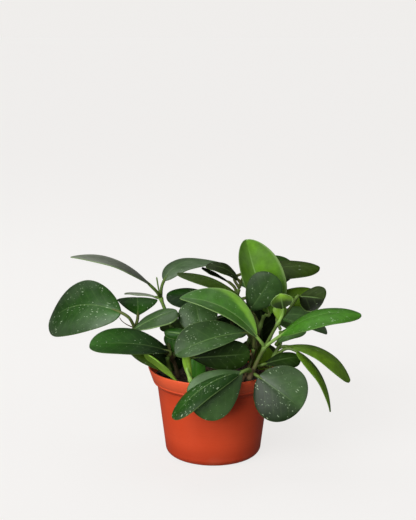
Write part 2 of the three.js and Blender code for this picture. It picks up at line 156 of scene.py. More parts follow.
STEMS: dict[str, Stem] = {
    "stem_front": Stem(
        line=((33, -42, 74), (36, -48, 88), (43, -58, 112), (50, -50, 126), (58, -42, 139),
              (65, -35, 150), (74, -26, 163), (88, -14, 178), (97, -6, 190)),
        leaves=(
            Leaf(4, (49, -45, 152), (-38, -34, 194), 50, (0.35, -0.42, 1), arch=7, fold=-8, bow=11,
                 taper=0.15, sharp=0.2, tone=Tone.FRESH, lit=0.75, glow=1, flecks=0.35, bloom_and_sheen=0.8,
                 edge=0.9),
            Leaf(4, (76, -45, 154), (165, -50, 179), 52, (-0.1, -0.12, 1), arch=12, cup=4, taper=0.15,
                 sharp=0.05, tone=Tone.FRESH, lit=0.9, lean=0.1, flecks=0.6, bloom_and_sheen=0.05, edge=0.2),
            Leaf(2, (33, -72, 120), (-44, -108, 78), 31, (-0.4, -0.45, 0.8), arch=12, cup=4, taper=0.3,
                 tone=Tone.MID, lit=0.9, dim=0.5, lean=0.15, flecks=1.3, bloom_and_sheen=0.1, edge=0.3),
            Leaf(2, (33, -76, 121), (-23, -92, 82), 54, (0.1, -1, 0.35), arch=3, cup=3, taper=0.45,
                 tone=Tone.GREY, lit=2, dim=0.7, lean=0.15, flecks=0.4, bloom_and_sheen=0.4, edge=0.1),
            Leaf(2, (50, -68, 113), (97, -86, 82), 66, (0.1, -1, 0.35), arch=3, cup=4, taper=0.1,
                 tone=Tone.GREY, lit=0.9, dim=0.5, lean=-0.5, flecks=0.7, bloom_and_sheen=0.5, edge=0.05),
            Leaf(6, (79, -28, 180), (75, -38, 200), 26, (0, -1, 0.2), arch=2, cup=-5, taper=0.8,
                 tone=Tone.PALE, lit=1.7, dim=2.4, flecks=0, bloom_and_sheen=0.6, edge=0.9),
            Leaf(8, (100, -1, 188), (126, -22, 190), 36, (0.1, -0.8, 0.6), arch=1, cup=3, taper=0.2,
                 tone=Tone.OLIVE, lit=0.28, lean=-0.7, flecks=0.1, bloom_and_sheen=0, edge=0.4),
            Leaf(6, (75, -25, 165), (76, -22, 184), 16, (0, -1, 0.2), arch=1, cup=1, tone=Tone.PALE,
                 flecks=0, bloom_and_sheen=0.1, edge=0),
        ),
        sprigs=(
            Sprig(((44, -57, 118), (42, -64, 115), (39.5, -72, 110.5)), root=2.8, tip=3.8, age=1.0),
        ),
        slim_from=4,
        slim_radius=1.8,
        pale=0.08,
    ),
    "stem_centre": Stem(
        line=((24, -26, 74), (32, -30, 92), (42, -31, 116), (46, -29, 134)),
        leaves=(
            Leaf(3, (38, -40, 155), (-42, -66, 137), 46, (-0.1, -0.55, 0.85), arch=8, fold=-9,
                 taper=0.35, tone=Tone.GREY, lit=1.05, dim=-0.2, lean=-0.25, flecks=0.9, bloom_and_sheen=0.4,
                 edge=0.3),
        ),
        sprigs=(
            Sprig(((44, -33, 122), (43.5, -38, 128), (42.5, -42, 132)), root=0.8, tip=1.9, age=0.7),
        ),
        bark=Bark.WOODY,
    ),
    "stem_middle": Stem(
        line=((-18, -44, 74), (-20, -56, 92), (-25, -62, 106), (-30, -55, 120), (-28, -44, 132)),
        leaves=(
            Leaf(4, (-24, -30, 149), (-56, -25, 152), 14, (0, -0.85, 0.5), arch=3, cup=3, taper=0.3,
                 tone=Tone.MID, lit=0.9, flecks=0.1, bloom_and_sheen=0.1, edge=0.7),
            Leaf(4, (-12, -24, 142), (-21, -4, 185), 46, (0, -0.85, 0.5), arch=3, cup=3, taper=0.4,
                 tone=Tone.GREY, lit=1.1, lean=0.1, flecks=1, bloom_and_sheen=0.3, edge=0.1),
            Leaf(4, (-24, -50, 129), (42, -40, 131), 34, (0, -1, 0.2), arch=3, cup=2, taper=0.35,
                 tone=Tone.SHADED, lit=1.8, dim=0.7, flecks=0.3, bloom_and_sheen=0.05, edge=0.2),
            Leaf(3, (-19, -26, 128), (-20, -30, 99), 22, (0, -1, 0.2), arch=2, cup=2, tone=Tone.MID,
                 lit=3.5, flecks=0.1, bloom_and_sheen=0.2, edge=0.2),
            Leaf(2, (-24, -58, 100), (-31, -60, 138), 10, (0.3, -1, 0.1), arch=-2, cup=1, taper=0.6,
                 tone=Tone.PALE, lit=1.9, dim=0.2, flecks=0, bloom_and_sheen=0.3, edge=0.4),
        ),
        bark=Bark.GREEN,
        pale=0.9,
    ),
    "stem_left": Stem(
        line=((-36, -8, 74), (-40, -8, 92), (-48, -10, 116), (-68, -14, 134), (-90, -18, 155)),
        leaves=(
            Leaf(4, (-105, -25, 175), (-195, 28, 148), 68, (-0.1, -0.8, 0.6), arch=12, cup=4, bow=11,
                 taper=0.12, tone=Tone.MID, lit=0.38, dim=-2.4, lean=-0.15, flecks=0.6, bloom_and_sheen=0.5,
                 edge=0.1),
            Leaf(4, (-93, -26, 153), (-42, -8, 173), 42, (0, -0.15, 1), arch=3, cup=3, tone=Tone.GREY,
                 lit=1.2, dim=-0.1, lean=-0.1, flecks=0.4, bloom_and_sheen=0.55, edge=0.7),
            Leaf(4, (-87, -6, 167), (-92, 50, 172), 48, (0.05, -0.1, 1), arch=9, cup=2, taper=0.3,
                 tone=Tone.MID, lean=0.15, flecks=0.3, bloom_and_sheen=0.05, edge=0.1),
            Leaf(2, (-45, -4, 120), (-49, 4, 145), 20, (0, -0.9, 0.4), arch=2, cup=2, tone=Tone.MID,
                 lit=2, flecks=0.2, bloom_and_sheen=0.1, edge=0.1),
            Leaf(2, (-53, 0, 130), (-50, 4, 96), 42, (0, -1, 0.2), arch=3, cup=2, taper=0.1,
                 tone=Tone.SHADED, lit=0.8, flecks=0.1, bloom_and_sheen=0, edge=0),
        ),
        sprigs=(
            Sprig(((-90, -18, 155), (-98, -20, 159), (-104, -22, 164), (-107, -24, 169)),
                  root=0.7, tip=0.4, age=0.8),
        ),
        bark=Bark.WOODY,
    ),
    "stem_low_left": Stem(
        line=((-46, -28, 74), (-46, -34, 100), (-50, -38, 112), (-52, -42, 128)),
        leaves=(
            Leaf(3, (-49, -46, 135), (-138, -60, 145), 52, (0, -0.35, 1), arch=7, fold=-4, taper=0.25,
                 tone=Tone.MID, lit=1.25, dim=1, lean=0.1, flecks=0.35, bloom_and_sheen=0.05, edge=0.1),
            Leaf(2, (-49, -40, 107), (-97, -36, 140), 17, (-0.4, -0.5, 0.8), arch=2, cup=2,
                 tone=Tone.OLIVE, lit=1.3, flecks=0.1, bloom_and_sheen=0.1, edge=0.1),
            Leaf(1, (-40, -58, 103), (-75, -62, 137), 38, (0.66, 0.42, 0.62), arch=2, cup=2,
                 tone=Tone.PALE, lit=2.5, flecks=0, bloom_and_sheen=0.2, edge=0.3),
        ),
        bark=Bark.WOODY,
    ),
    "stem_back_left": Stem(
        line=((-22, 20, 74), (-28, 22, 92), (-44, 24, 130), (-55, 26, 160), (-62, 28, 179),
              (-65, 30, 192), (-67, 32, 204)),
        leaves=(
            Leaf(4, (-74, 15, 198), (-164, 0, 234), 61, (0.35, 0.1, 1), arch=13, cup=4, taper=0.3,
                 sharp=0.4, tone=Tone.ASH, lit=1.4, dim=0.4, lean=0.2, flecks=0.1, bloom_and_sheen=1, edge=0.5),
            Leaf(4, (-58, 35, 199), (17, 80, 208), 52, (0.12, 0.08, 1), arch=10, cup=2, bow=-19,
                 taper=0.05, tone=Tone.GREY, lit=1.3, dim=0.1, lean=0.1, flecks=0.1, bloom_and_sheen=0.8, edge=0.1),
            Leaf(4, (-67, 32, 179), (-105, 52, 179), 26, (0, 0.25, 1), arch=2, cup=2, tone=Tone.ASH,
                 lit=2.3, flecks=0, bloom_and_sheen=0.6, edge=0.5),
        ),
        slim_from=4,
        slim_radius=0.9,
        pale=0.4,
    ),
    "stem_top": Stem(
        line=((34, 2, 74), (40, 2, 92), (50, 6, 126), (55, 10, 150), (60, 16, 162)),
        leaves=(
            Leaf(4, (66, 20, 162), (38, 12, 252.5), 58, (-0.6, -1, 0.1), arch=3, fold=15, taper=0,
                 sharp=0.1, tone=Tone.YOUNG, lit=0.72, lean=0.35, flecks=0, bloom_and_sheen=0.6, edge=1),
            Leaf(2, (41, -2, 170), (69, -10, 216), 41, (0.1, -1, 0.25), arch=3, cup=3, taper=0.4,
                 tone=Tone.GREY, lit=0.95, dim=0.2, lean=0.15, flecks=0.4, bloom_and_sheen=0.15, edge=0),
            Leaf(2, (44, 12, 168), (-42, 18, 211), 38, (0.25, -0.1, 1), arch=11.5, cup=4, twist=-15,
                 tone=Tone.OLIVE, lit=0.6, dim=-1.2, flecks=0.1, bloom_and_sheen=0, edge=0.1),
            Leaf(3, (34, 20, 161), (-55, 24, 184), 49, (0.1, -0.3, 1), arch=8, cup=4, tone=Tone.DEEP,
                 lit=0.6, lean=0.4, flecks=0.1, bloom_and_sheen=0, edge=0),
            Leaf(2, (59, 12, 127), (56, 12, 96), 32, (0, -1, 0.2), arch=2, cup=2, taper=0.2,
                 tone=Tone.OLIVE, lit=2.5, flecks=0.1, bloom_and_sheen=0, edge=0),
        ),
        bark=Bark.WOODY,
    ),
    "stem_back": Stem(
        line=((8, 32, 74), (12, 36, 92), (22, 46, 140), (28, 54, 170), (31, 58, 184)),
        leaves=(
            Leaf(4, (30, 50, 196), (-9, 48, 213), 28, (0, -0.25, 1), arch=6.5, taper=0.05,
                 tone=Tone.OLIVE, lit=0.28, flecks=0.1, bloom_and_sheen=0, edge=0.1),
            Leaf(3, (19, 64, 190), (-14, 64, 208), 13, (0, -0.1, 1), arch=1, cup=1, tone=Tone.SHADED,
                 lit=0.15, flecks=0, bloom_and_sheen=0, edge=0),
            Leaf(4, (44, 60, 201), (129, 70, 207), 45, (0, -0.3, 1), arch=5, cup=4, taper=0.25,
                 sharp=0.1, tone=Tone.OLIVE, lit=0.7, flecks=0.1, bloom_and_sheen=0, edge=0.1),
            Leaf(3, (68, 50, 177), (133, 74, 166), 27, (0, -1, 0.4), arch=4, cup=3, tone=Tone.OLIVE,
                 lit=2.7, flecks=0.1, bloom_and_sheen=0, edge=0.1),
            Leaf(4, (41, 104, 193), (101, 104, 198), 38, (0, -1, 0.3), arch=3, cup=3, taper=0.1,
                 tone=Tone.SHADED, lit=2, flecks=0, bloom_and_sheen=0, edge=0),
        ),
        bark=Bark.WOODY,
    ),
    "stem_right": Stem(
        line=((50, -16, 74), (56, -18, 92), (64, -22, 110), (70, -26, 124), (76, -22, 138),
              (78, -10, 150)),
        leaves=(
            Leaf(3, (81, -24, 135), (156, -38, 98), 44, (0.45, -0.15, 1), arch=15, cup=4, taper=0.5,
                 sharp=0.05, tone=Tone.OLIVE, lit=2.5, lean=0.1, flecks=0.1, bloom_and_sheen=0.15, edge=0.1),
            Leaf(3, (95, -34, 132), (132, -58, 68), 42, (0.85, 0, 0.75), arch=10, cup=4, taper=0.1,
                 sharp=0.2, twist=18, tone=Tone.OLIVE, lit=3.3, flecks=0.1, bloom_and_sheen=0.15, edge=0.1),
            Leaf(2, (57, -48, 121), (99, -30, 124), 24, (0, -0.6, 0.8), arch=2, cup=3, tone=Tone.SHADED,
                 lit=1.8, dim=0.8, flecks=0, bloom_and_sheen=0.1, edge=0.1),
            Leaf(5, (78, 4, 164), (134, 46, 139), 46, (0, -0.5, 0.9), arch=8, cup=3, taper=0.35,
                 tone=Tone.GREY, lit=1.7, flecks=0.1, bloom_and_sheen=0.5, edge=0.1),
            Leaf(4, (72, -30, 140), (103, 8, 149), 28, (0.2, 0.2, 1), arch=3, cup=3, tone=Tone.GREY,
                 lit=3.2, dim=0.3, flecks=0.1, bloom_and_sheen=0.3, edge=0.1),
        ),
        bark=Bark.GREEN,
        pale=0.12,
    ),
    "stem_rear_left": Stem(
        line=((-6, 44, 74), (-6, 50, 92), (-8, 58, 120), (-6, 64, 142)),
        leaves=(
            Leaf(3, (-22, 70, 142), (-50, 124, 112), 54, (-0.1, 0.4, 1), arch=8, cup=4, tone=Tone.MID,
                 lit=1.2, dim=0.2, flecks=0.4, bloom_and_sheen=0.2, edge=0.1),
            Leaf(3, (-2, 78, 150), (-8, 156, 132), 56, (0, 0.3, 1), arch=10, cup=4, tone=Tone.DEEP,
                 dim=0.2, flecks=0.4, bloom_and_sheen=0.3, edge=0.1),
            Leaf(3, (10, 74, 142), (40, 138, 116), 52, (0.1, 0.4, 1), arch=8, cup=4, tone=Tone.GREY,
                 lit=0.6, dim=0.2, flecks=0.5, bloom_and_sheen=0.2, edge=0.1),
            Leaf(2, (-12, 80, 116), (-26, 106, 56), 54, (0, 1, 0.4), arch=6, cup=4, tone=Tone.MID,
                 lit=0.9, dim=0.3, flecks=0.6, bloom_and_sheen=0.2, edge=0.1),
            Leaf(3, (1, 54, 143), (44, 50, 137), 30, (0, -1, 0.3), arch=2, cup=2, tone=Tone.SHADED,
                 flecks=0.1, bloom_and_sheen=0, edge=0),
        ),
    ),
    "stem_rear_right": Stem(
        line=((34, 36, 74), (36, 42, 92), (44, 54, 120), (52, 62, 148), (56, 66, 166)),
        leaves=(
            Leaf(4, (58, 78, 171), (60, 148, 174), 50, (0, 0, 1), arch=5, cup=4, tone=Tone.FRESH,
                 lit=0.7, dim=0.1, flecks=0.3, bloom_and_sheen=0.2, edge=0.1),
            Leaf(3, (64, 66, 146), (104, 108, 117), 54, (0.3, 0.2, 1), arch=8, cup=4, tone=Tone.GREY,
                 lit=7, dim=0.2, flecks=0.4, bloom_and_sheen=0.2, edge=0.1),
            Leaf(2, (48, 72, 118), (60, 104, 74), 56, (0.2, 1, 0.4), arch=6, cup=4, tone=Tone.GREY,
                 lit=0.9, dim=0.3, flecks=0.5, bloom_and_sheen=0.3, edge=0.1),
            Leaf(2, (59, 42, 111), (56, 38, 174), 35, (0, -1, 0.2), arch=3, cup=2, taper=0.25,
                 tone=Tone.SHADED, lit=0.4, flecks=0.1, bloom_and_sheen=0, edge=0),
        ),
    ),
}


# ---- small geometry helpers ------------------------------------------------------------------


def metres(point: Point) -> Vector:
    """A place given in millimetres, in metres."""
    return Vector(point) * MM


def mesh_object(name: str, bm: bmesh.types.BMesh, finishes: Sequence[bpy.types.Material],
                smooth: bool = True) -> bpy.types.Object:
    """Turn a finished bmesh into an object at the origin.

    Args:
        name: Name of the piece.
        bm: The shape, which is freed.
        finishes: Materials, in the order of the faces' material numbers.
        smooth: Whether the faces are shaded smooth.

    Returns:
        The new object, linked to the scene.
    """
    mesh = bpy.data.meshes.new(name)
    bm.to_mesh(mesh)
    bm.free()
    for finish in finishes:
        mesh.materials.append(finish)
    mesh.polygons.foreach_set("use_smooth", [smooth] * len(mesh.polygons))
    obj = bpy.data.objects.new(name, mesh)
    bpy.context.scene.collection.objects.link(obj)
    return obj


def grow_skin(bm: bmesh.types.BMesh, around: int, rows: int,
              place: Callable[[float, float], Vector]) -> list[bmesh.types.BMVert]:
    """Grow one closed skin: a ball whose every point is moved where a rule puts it.

    Args:
        bm: The bmesh that the skin is added to.
        around: Points round the skin.
        rows: Points from the skin's base to its tip.
        place: Gives a point from its turn, 0 at the base to pi at the tip, and its spin.

    Returns:
        The skin's vertices.
    """
    ball = bmesh.ops.create_uvsphere(bm, u_segments=around, v_segments=rows, radius=1.0)["verts"]
    for vert in ball:
        turn = math.acos(max(-1.0, min(1.0, -vert.co.z)))
        vert.co = place(turn, math.atan2(-vert.co.y, vert.co.x))
    return ball


def turned(bm: bmesh.types.BMesh, outline: Sequence[tuple[float, float]], steps: int) -> None:
    """Spin an outline of (radius, height) points, with both ends on the axis, into a closed skin.

    Args:
        bm: The bmesh that the skin is added to.
        outline: Points of the outline, in metres.
        steps: Facets round the axis.
    """
    verts = [bm.verts.new((radius, 0.0, height)) for radius, height in outline]
    edges = [bm.edges.new(pair) for pair in zip(verts, verts[1:])]
    bmesh.ops.spin(bm, geom=verts + edges, cent=(0, 0, 0), axis=(0, 0, 1), dvec=(0, 0, 0),
                   angle=2 * math.pi, steps=steps, use_merge=True, use_duplicate=False)
    bmesh.ops.remove_doubles(bm, verts=bm.verts, dist=1e-6)
    bmesh.ops.recalc_face_normals(bm, faces=bm.faces)


def arc(centre: tuple[float, float], radius: float, start: float, end: float,
        steps: int) -> list[tuple[float, float]]:
    """Points of an arc.

    Args:
        centre: Centre of the arc, as (radius, height).
        radius: Radius of the arc.
        start: First angle in degrees.
        end: Last angle in degrees.
        steps: Number of steps from first to last.

    Returns:
        The points, in order.
    """
    angles = [math.radians(start + (end - start) * k / steps) for k in range(steps + 1)]
    return [(centre[0] + radius * math.cos(a), centre[1] + radius * math.sin(a)) for a in angles]


class Path:
    """A smooth line through points, walked by its length, with a frame that doesn't twist."""

    FINE = 16

    def __init__(self, points: Sequence[Vector]) -> None:
        """Lay the line.

        Args:
            points: The points that the line goes through, in metres.
        """
        self.knots = list(points)
        self.places = [self._spline(k / self.FINE) for k in range((len(points) - 1) * self.FINE + 1)]
        self.runs = [0.0]
        for here, there in zip(self.places, self.places[1:]):
            self.runs.append(self.runs[-1] + (there - here).length)
        self.length = self.runs[-1]
        heading = (self.places[1] - self.places[0]).normalized()
        self.sides = [heading.orthogonal().normalized()]
        for here, there in zip(self.places, self.places[1:]):
            heading = (there - here).normalized()
            side = self.sides[-1] - heading * self.sides[-1].dot(heading)
            self.sides.append(side.normalized())

    def _spline(self, u: float) -> Vector:
        """A point of a centripetal Catmull-Rom curve through the knots.

        Args:
            u: Knot number, with the share of the way to the next knot as its fraction.

        Returns:
            The point.
        """
        k = min(int(u), len(self.knots) - 2)
        p1, p2 = self.knots[k], self.knots[k + 1]
        p0 = self.knots[k - 1] if k > 0 else 2 * p1 - p2
        p3 = self.knots[k + 2] if k + 2 < len(self.knots) else 2 * p2 - p1
        d0, d1, d2 = ((b - a).length ** 0.5 for a, b in ((p0, p1), (p1, p2), (p2, p3)))
        m1 = ((p1 - p0) / d0 - (p2 - p0) / (d0 + d1) + (p2 - p1) / d1) * d1
        m2 = ((p2 - p1) / d1 - (p3 - p1) / (d1 + d2) + (p3 - p2) / d2) * d1
        w = u - k
        return (p1 * (2 * w**3 - 3 * w**2 + 1) + m1 * (w**3 - 2 * w**2 + w)
                + p2 * (3 * w**2 - 2 * w**3) + m2 * (w**3 - w**2))

    def share_of_knot(self, k: int) -> float:
        """The share of the length at which the line passes knot k."""
        return self.runs[k * self.FINE] / self.length

    def at(self, share: float) -> tuple[Vector, Vector, Vector]:
        """A place on the line and the two directions square to it.

        Args:
            share: Share of the line's length, from 0 to 1.

        Returns:
            The place, and two directions that are square to the line and to each other.
        """
        run = share * self.length
        k = next((i for i in range(len(self.runs) - 2) if self.runs[i + 1] >= run), len(self.runs) - 2)
        w = (run - self.runs[k]) / max(self.runs[k + 1] - self.runs[k], 1e-9)
        heading = (self.places[k + 1] - self.places[k]).normalized()
        side = self.sides[k].lerp(self.sides[k + 1], w)
        side = (side - heading * side.dot(heading)).normalized()
        return self.places[k].lerp(self.places[k + 1], w), side, heading.cross(side)


# ---- shader helpers --------------------------------------------------------------------------


class Value:
    """A number that varies over a surface, with arithmetic that adds Math nodes."""

    def __init__(self, recipe: "Recipe", socket: bpy.types.NodeSocket) -> None:
        """Wrap an output socket of a recipe's node."""
        self.recipe = recipe
        self.socket = socket

    def math(self, operation: str, *others: "Value | float") -> "Value":
        """The result of a Math node.

        Args:
            operation: The Math node's operation.
            others: What follows this value in the node's sockets.

        Returns:
            The node's output.
        """
        inputs = dict(enumerate((self, *others)))
        return self.recipe.add("ShaderNodeMath", {"operation": operation}, inputs)["Value"]

    def __add__(self, other: "Value | float") -> "Value":
        """Sum."""
        return self.math("ADD", other)

    __radd__ = __add__

    def __sub__(self, other: "Value | float") -> "Value":
        """Difference."""
        return self.math("SUBTRACT", other)

    def __rsub__(self, other: float) -> "Value":
        """A number minus this value."""
        return (self * -1.0) + other

    def __mul__(self, other: "Value | float") -> "Value":
        """Product."""
        return self.math("MULTIPLY", other)

    __rmul__ = __mul__

    def __truediv__(self, other: "Value | float") -> "Value":
        """Quotient."""
        return self.math("DIVIDE", other)

    def size(self) -> "Value":
        """Absolute value."""
        return self.math("ABSOLUTE")

    def step(self, low: "Value | float", high: "Value | float") -> "Value":
        """A smooth step.

        Args:
            low: Where the step is 0.
            high: Where it is 1.

        Returns:
            The step, from 0 to 1.
        """
        inputs = {"Value": self, "From Min": low, "From Max": high, "To Min": 0.0, "To Max": 1.0}
        settings = {"interpolation_type": "SMOOTHSTEP"}
        return self.recipe.add("ShaderNodeMapRange", settings, inputs)["Result"]


class Recipe:
    """A material being mixed: a Principled shader and the nodes that feed it."""

    def __init__(self, name: str) -> None:
        """Start an empty material.

        Args:
            name: The material's name.
        """
        self.material = bpy.data.materials.new(name)
        self.material.use_nodes = True
        self.tree = self.material.node_tree
        self.tree.nodes.clear()
        self.shader = self.tree.nodes.new("ShaderNodeBsdfPrincipled")
        output = self.tree.nodes.new("ShaderNodeOutputMaterial")
        self.tree.links.new(self.shader.outputs["BSDF"], output.inputs["Surface"])

    def feed(self, socket: bpy.types.NodeSocket, source: object) -> None:
        """Set a socket's value, or link it if the source varies.

        Args:
            socket: The input socket.
            source: A varying value, or what the socket takes by itself.
        """
        if isinstance(source, Value):
            self.tree.links.new(source.socket, socket)
        else:
            socket.default_value = source

    def add(self, kind: str, settings: dict[str, object] | None = None,
            inputs: dict[str | int, object] | None = None) -> dict[str, Value]:
        """Add any node.

        Args:
            kind: The node's type.
            settings: The node's own settings, which are set first.
            inputs: Values or links of its sockets, by name or number.

        Returns:
            The node's outputs that are in use, by name.
        """
        node = self.tree.nodes.new(kind)
        for key, setting in (settings or {}).items():
            setattr(node, key, setting)
        for key, source in (inputs or {}).items():
            sockets = [s for s in node.inputs if s.enabled]
            socket = sockets[key] if isinstance(key, int) else next(s for s in sockets if s.name == key)
            self.feed(socket, source)
        return {s.name: Value(self, s) for s in node.outputs if s.enabled}

    def mix(self, share: Value | float, low: object, high: object) -> Value:
        """A colour between two colours.

        Args:
            share: Share of the second colour.
            low: First colour.
            high: Second colour.

        Returns:
            The mixed colour.
        """
        low, high = (c if isinstance(c, Value) else (*c, 1.0) for c in (low, high))
        settings = {"data_type": "RGBA", "clamp_factor": True}
        return self.add("ShaderNodeMix", settings, {"Factor": share, "A": low, "B": high})["Result"]

    def shade(self, colour: Value, amount: Value) -> Value:
        """A colour made darker or lighter all over by a factor that varies."""
        inputs = {0: colour, 1: amount}
        return self.add("ShaderNodeVectorMath", {"operation": "MULTIPLY"}, inputs)["Vector"]

    def noise(self, vector: Value, scale: float, detail: float = 2.0) -> Value:
        """Soft noise from 0 to 1, with `scale` bumps to a unit of the vector."""
        inputs = {"Vector": vector, "Scale": scale, "Detail": detail, "Roughness": 0.55}
        return self.add("ShaderNodeTexNoise", None, inputs)["Fac"]

    def stretched(self, vector: Value, factors: Point) -> Value:
        """A vector stretched along its axes."""
        inputs = {0: vector, 1: factors}
        return self.add("ShaderNodeVectorMath", {"operation": "MULTIPLY"}, inputs)["Vector"]

    def wavy(self, vector: Value, scale: float, reach: float) -> Value:
        """A place moved about in waves.

        Args:
            vector: The place.
            scale: Waves to a unit of the place.
            reach: Twice how far the place moves.

        Returns:
            The moved place.
        """
        drift = self.add("ShaderNodeTexNoise", None, {"Vector": vector, "Scale": scale})["Color"]
        return self.add("ShaderNodeVectorMath", {"operation": "MULTIPLY_ADD"},
                        {0: drift, 1: (reach, reach, reach), 2: vector})["Vector"]

    def bump(self, height: Value, depth: float) -> None:
        """Give the surface a relief of `depth` metres."""
        normal = self.add("ShaderNodeBump", None, {"Strength": 1.0, "Distance": depth, "Height": height})
        self.feed(self.shader.inputs["Normal"], normal["Normal"])

    def dress(self, **sockets: object) -> bpy.types.Material:
        """Set the shader's sockets.

        Args:
            sockets: Their values or sources, by name with underscores for spaces.

        Returns:
            The material.
        """
        for key, source in sockets.items():
            self.feed(self.shader.inputs[key.replace("_", " ")], source)
        return self.material


# ---- finishes --------------------------------------------------------------------------------


@dataclass(frozen=True)
class BladeFinish:
    """The waxy skin of a blade: pale flecks, a pale midrib, faint side veins, a grey wax film that is
    partly painted sheen, and a pale rim that is partly a painted edge highlight.

    It reads the blade's `leaf` map (share of the length, place across from -1 to 1), its `grain`
    map (millimetres along and across) and its colours `tone` and `marks`. The cells and the gap are
    in millimetres, and a share says how strongly that mark covers the green.
    """

    fleck: Point = (0.36, 0.47, 0.29)
    vein: Point = (0.17, 0.27, 0.085)
    keel: Point = (0.23, 0.38, 0.12)
    rim: Point = (0.20, 0.32, 0.10)
    # Grey of the wax film, which also serves as painted sheen on the upper side.
    haze_and_sheen: Point = (0.150, 0.190, 0.130)
    underside: Point = (0.085, 0.150, 0.030)
    dot_cell: float = 3.4
    streak_cell: Point = (9.0, 2.8, 1.0)
    vein_gap: float = 11.0
    fleck_size: float = 0.17
    fleck_share: float = 0.7
    haze_and_sheen_share: float = 0.35
    rib_share: float = 0.05
    underside_share: float = 0.92
    relief: float = 0.35 * MM
    roughness: float = 0.30

    def _flecks(self, mix: Recipe, grain: Value, amount: Value, cell: Point) -> Value:
        """Pale flecks, one to a cell, of which only some are there.

        Args:
            mix: The recipe.
            grain: Millimetres along and across the blade.
            amount: How speckled the blade is.
            cell: Size of a fleck's cell, in millimetres.

        Returns:
            A mask, 1 on a fleck.
        """
        spread = mix.wavy(mix.stretched(grain, tuple(1.0 / side for side in cell)), 1.6, 0.5)
        cells = mix.add("ShaderNodeTexVoronoi", {"voronoi_dimensions": "2D"},
                        {"Vector": spread, "Scale": 1.0, "Randomness": 1.0})
        chance = mix.add("ShaderNodeSeparateColor", None, {"Color": cells["Color"]})
        patch = mix.noise(grain, 0.06).step(0.38, 0.62)
        there = (amount * (patch * 0.95 + 0.15)).math("GREATER_THAN", chance["Red"])
        radius = chance["Green"] * chance["Green"] * self.fleck_size + 0.25 * self.fleck_size
        return (cells["Distance"] * -1.0 + radius).step(0.0, radius * 0.45) * there

    def build(self) -> bpy.types.Material:
        """Mix the finish.

        Returns:
            The material.
        """
        mix = Recipe("leaf_blade")
        place = mix.add("ShaderNodeUVMap", {"uv_map": "leaf"})["UV"]
        place = mix.add("ShaderNodeSeparateXYZ", None, {"Vector": place})
        along, side = place["X"], place["Y"].size()
        grain = mix.add("ShaderNodeUVMap", {"uv_map": "grain"})["UV"]
        far = mix.add("ShaderNodeSeparateXYZ", None, {"Vector": grain})
        tone = mix.add("ShaderNodeAttribute", {"attribute_name": "tone"})["Color"]
        marked = mix.add("ShaderNodeAttribute", {"attribute_name": "marks"})
        marks = mix.add("ShaderNodeSeparateColor", None, {"Color": marked["Color"]})
        flecks, bloom_and_sheen, under = marks["Red"], marks["Green"], marks["Blue"]
        upper = 1.0 - under

        mottle = mix.noise(grain, 0.11, 3.0)
        fine = mix.noise(grain, 0.9, 3.0)
        colour = mix.shade(tone, mottle * 1.0 + fine * 0.4 + 0.32)
        colour = mix.shade(colour, 1.12 - side * side * 0.35)
        # A grey wax haze on the upper side, partly painted sheen.
        haze_and_sheen = bloom_and_sheen * (mix.noise(grain, 0.035).step(0.35, 0.7) * 0.65 + 0.1) * upper
        colour = mix.mix(haze_and_sheen * self.haze_and_sheen_share, colour, self.haze_and_sheen)

        rise = far["X"] - (far["Y"] - FAR_OFFSET).size() * 0.85
        wave = (rise / self.vein_gap).math("FRACT") - 0.5
        ribs = (1.0 - wave.size().step(0.0, 0.16)) * side.step(0.02, 0.2) * (1.0 - side.step(0.6, 0.95))
        colour = mix.mix(ribs * self.rib_share, colour, self.vein)
        across = (far["Y"] - FAR_OFFSET).size()
        midrib = (1.0 - across.step(0.3, 1.0)) * (1.0 - along.step(0.55, 0.98))
        colour = mix.mix(midrib * (marked["Alpha"] * 0.5 + 0.12), colour, self.keel)

        dots = self._flecks(mix, grain, flecks * 0.5, (self.dot_cell, self.dot_cell, 1.0))
        streaks = self._flecks(mix, grain, flecks * 0.7, self.streak_cell)
        speckle = dots.math("MAXIMUM", streaks) * upper
        colour = mix.mix(speckle * self.fleck_share, colour, self.fleck)

        below = mix.mix(0.5, tone, self.underside)
        below = mix.shade(below, mottle * 0.5 + 0.75)
        colour = mix.mix(under * self.underside_share, colour, below)
        # A pale rim, partly a real pale margin and partly a painted edge highlight.
        rim = side.step(marked["Alpha"] * -0.09 + 0.965, 0.985) * (marked["Alpha"] * 0.75 + 0.05)
        colour = mix.mix(rim, colour, self.rim)

        relief = ribs * -0.08 + fine * 0.25 + mottle * 0.6 + speckle * 0.12
        mix.bump(relief, self.relief)
        gloss = fine * 0.12 + haze_and_sheen * 0.1 + under * 0.16 + (1.0 - bloom_and_sheen) * 0.12 + self.roughness
        wax = bloom_and_sheen * (mottle * 0.7 + 0.45) * upper
        return mix.dress(Base_Color=colour, Roughness=gloss, IOR=1.46, Specular_IOR_Level=0.12,
                         Coat_Weight=wax, Coat_Roughness=0.34, Coat_IOR=1.45)


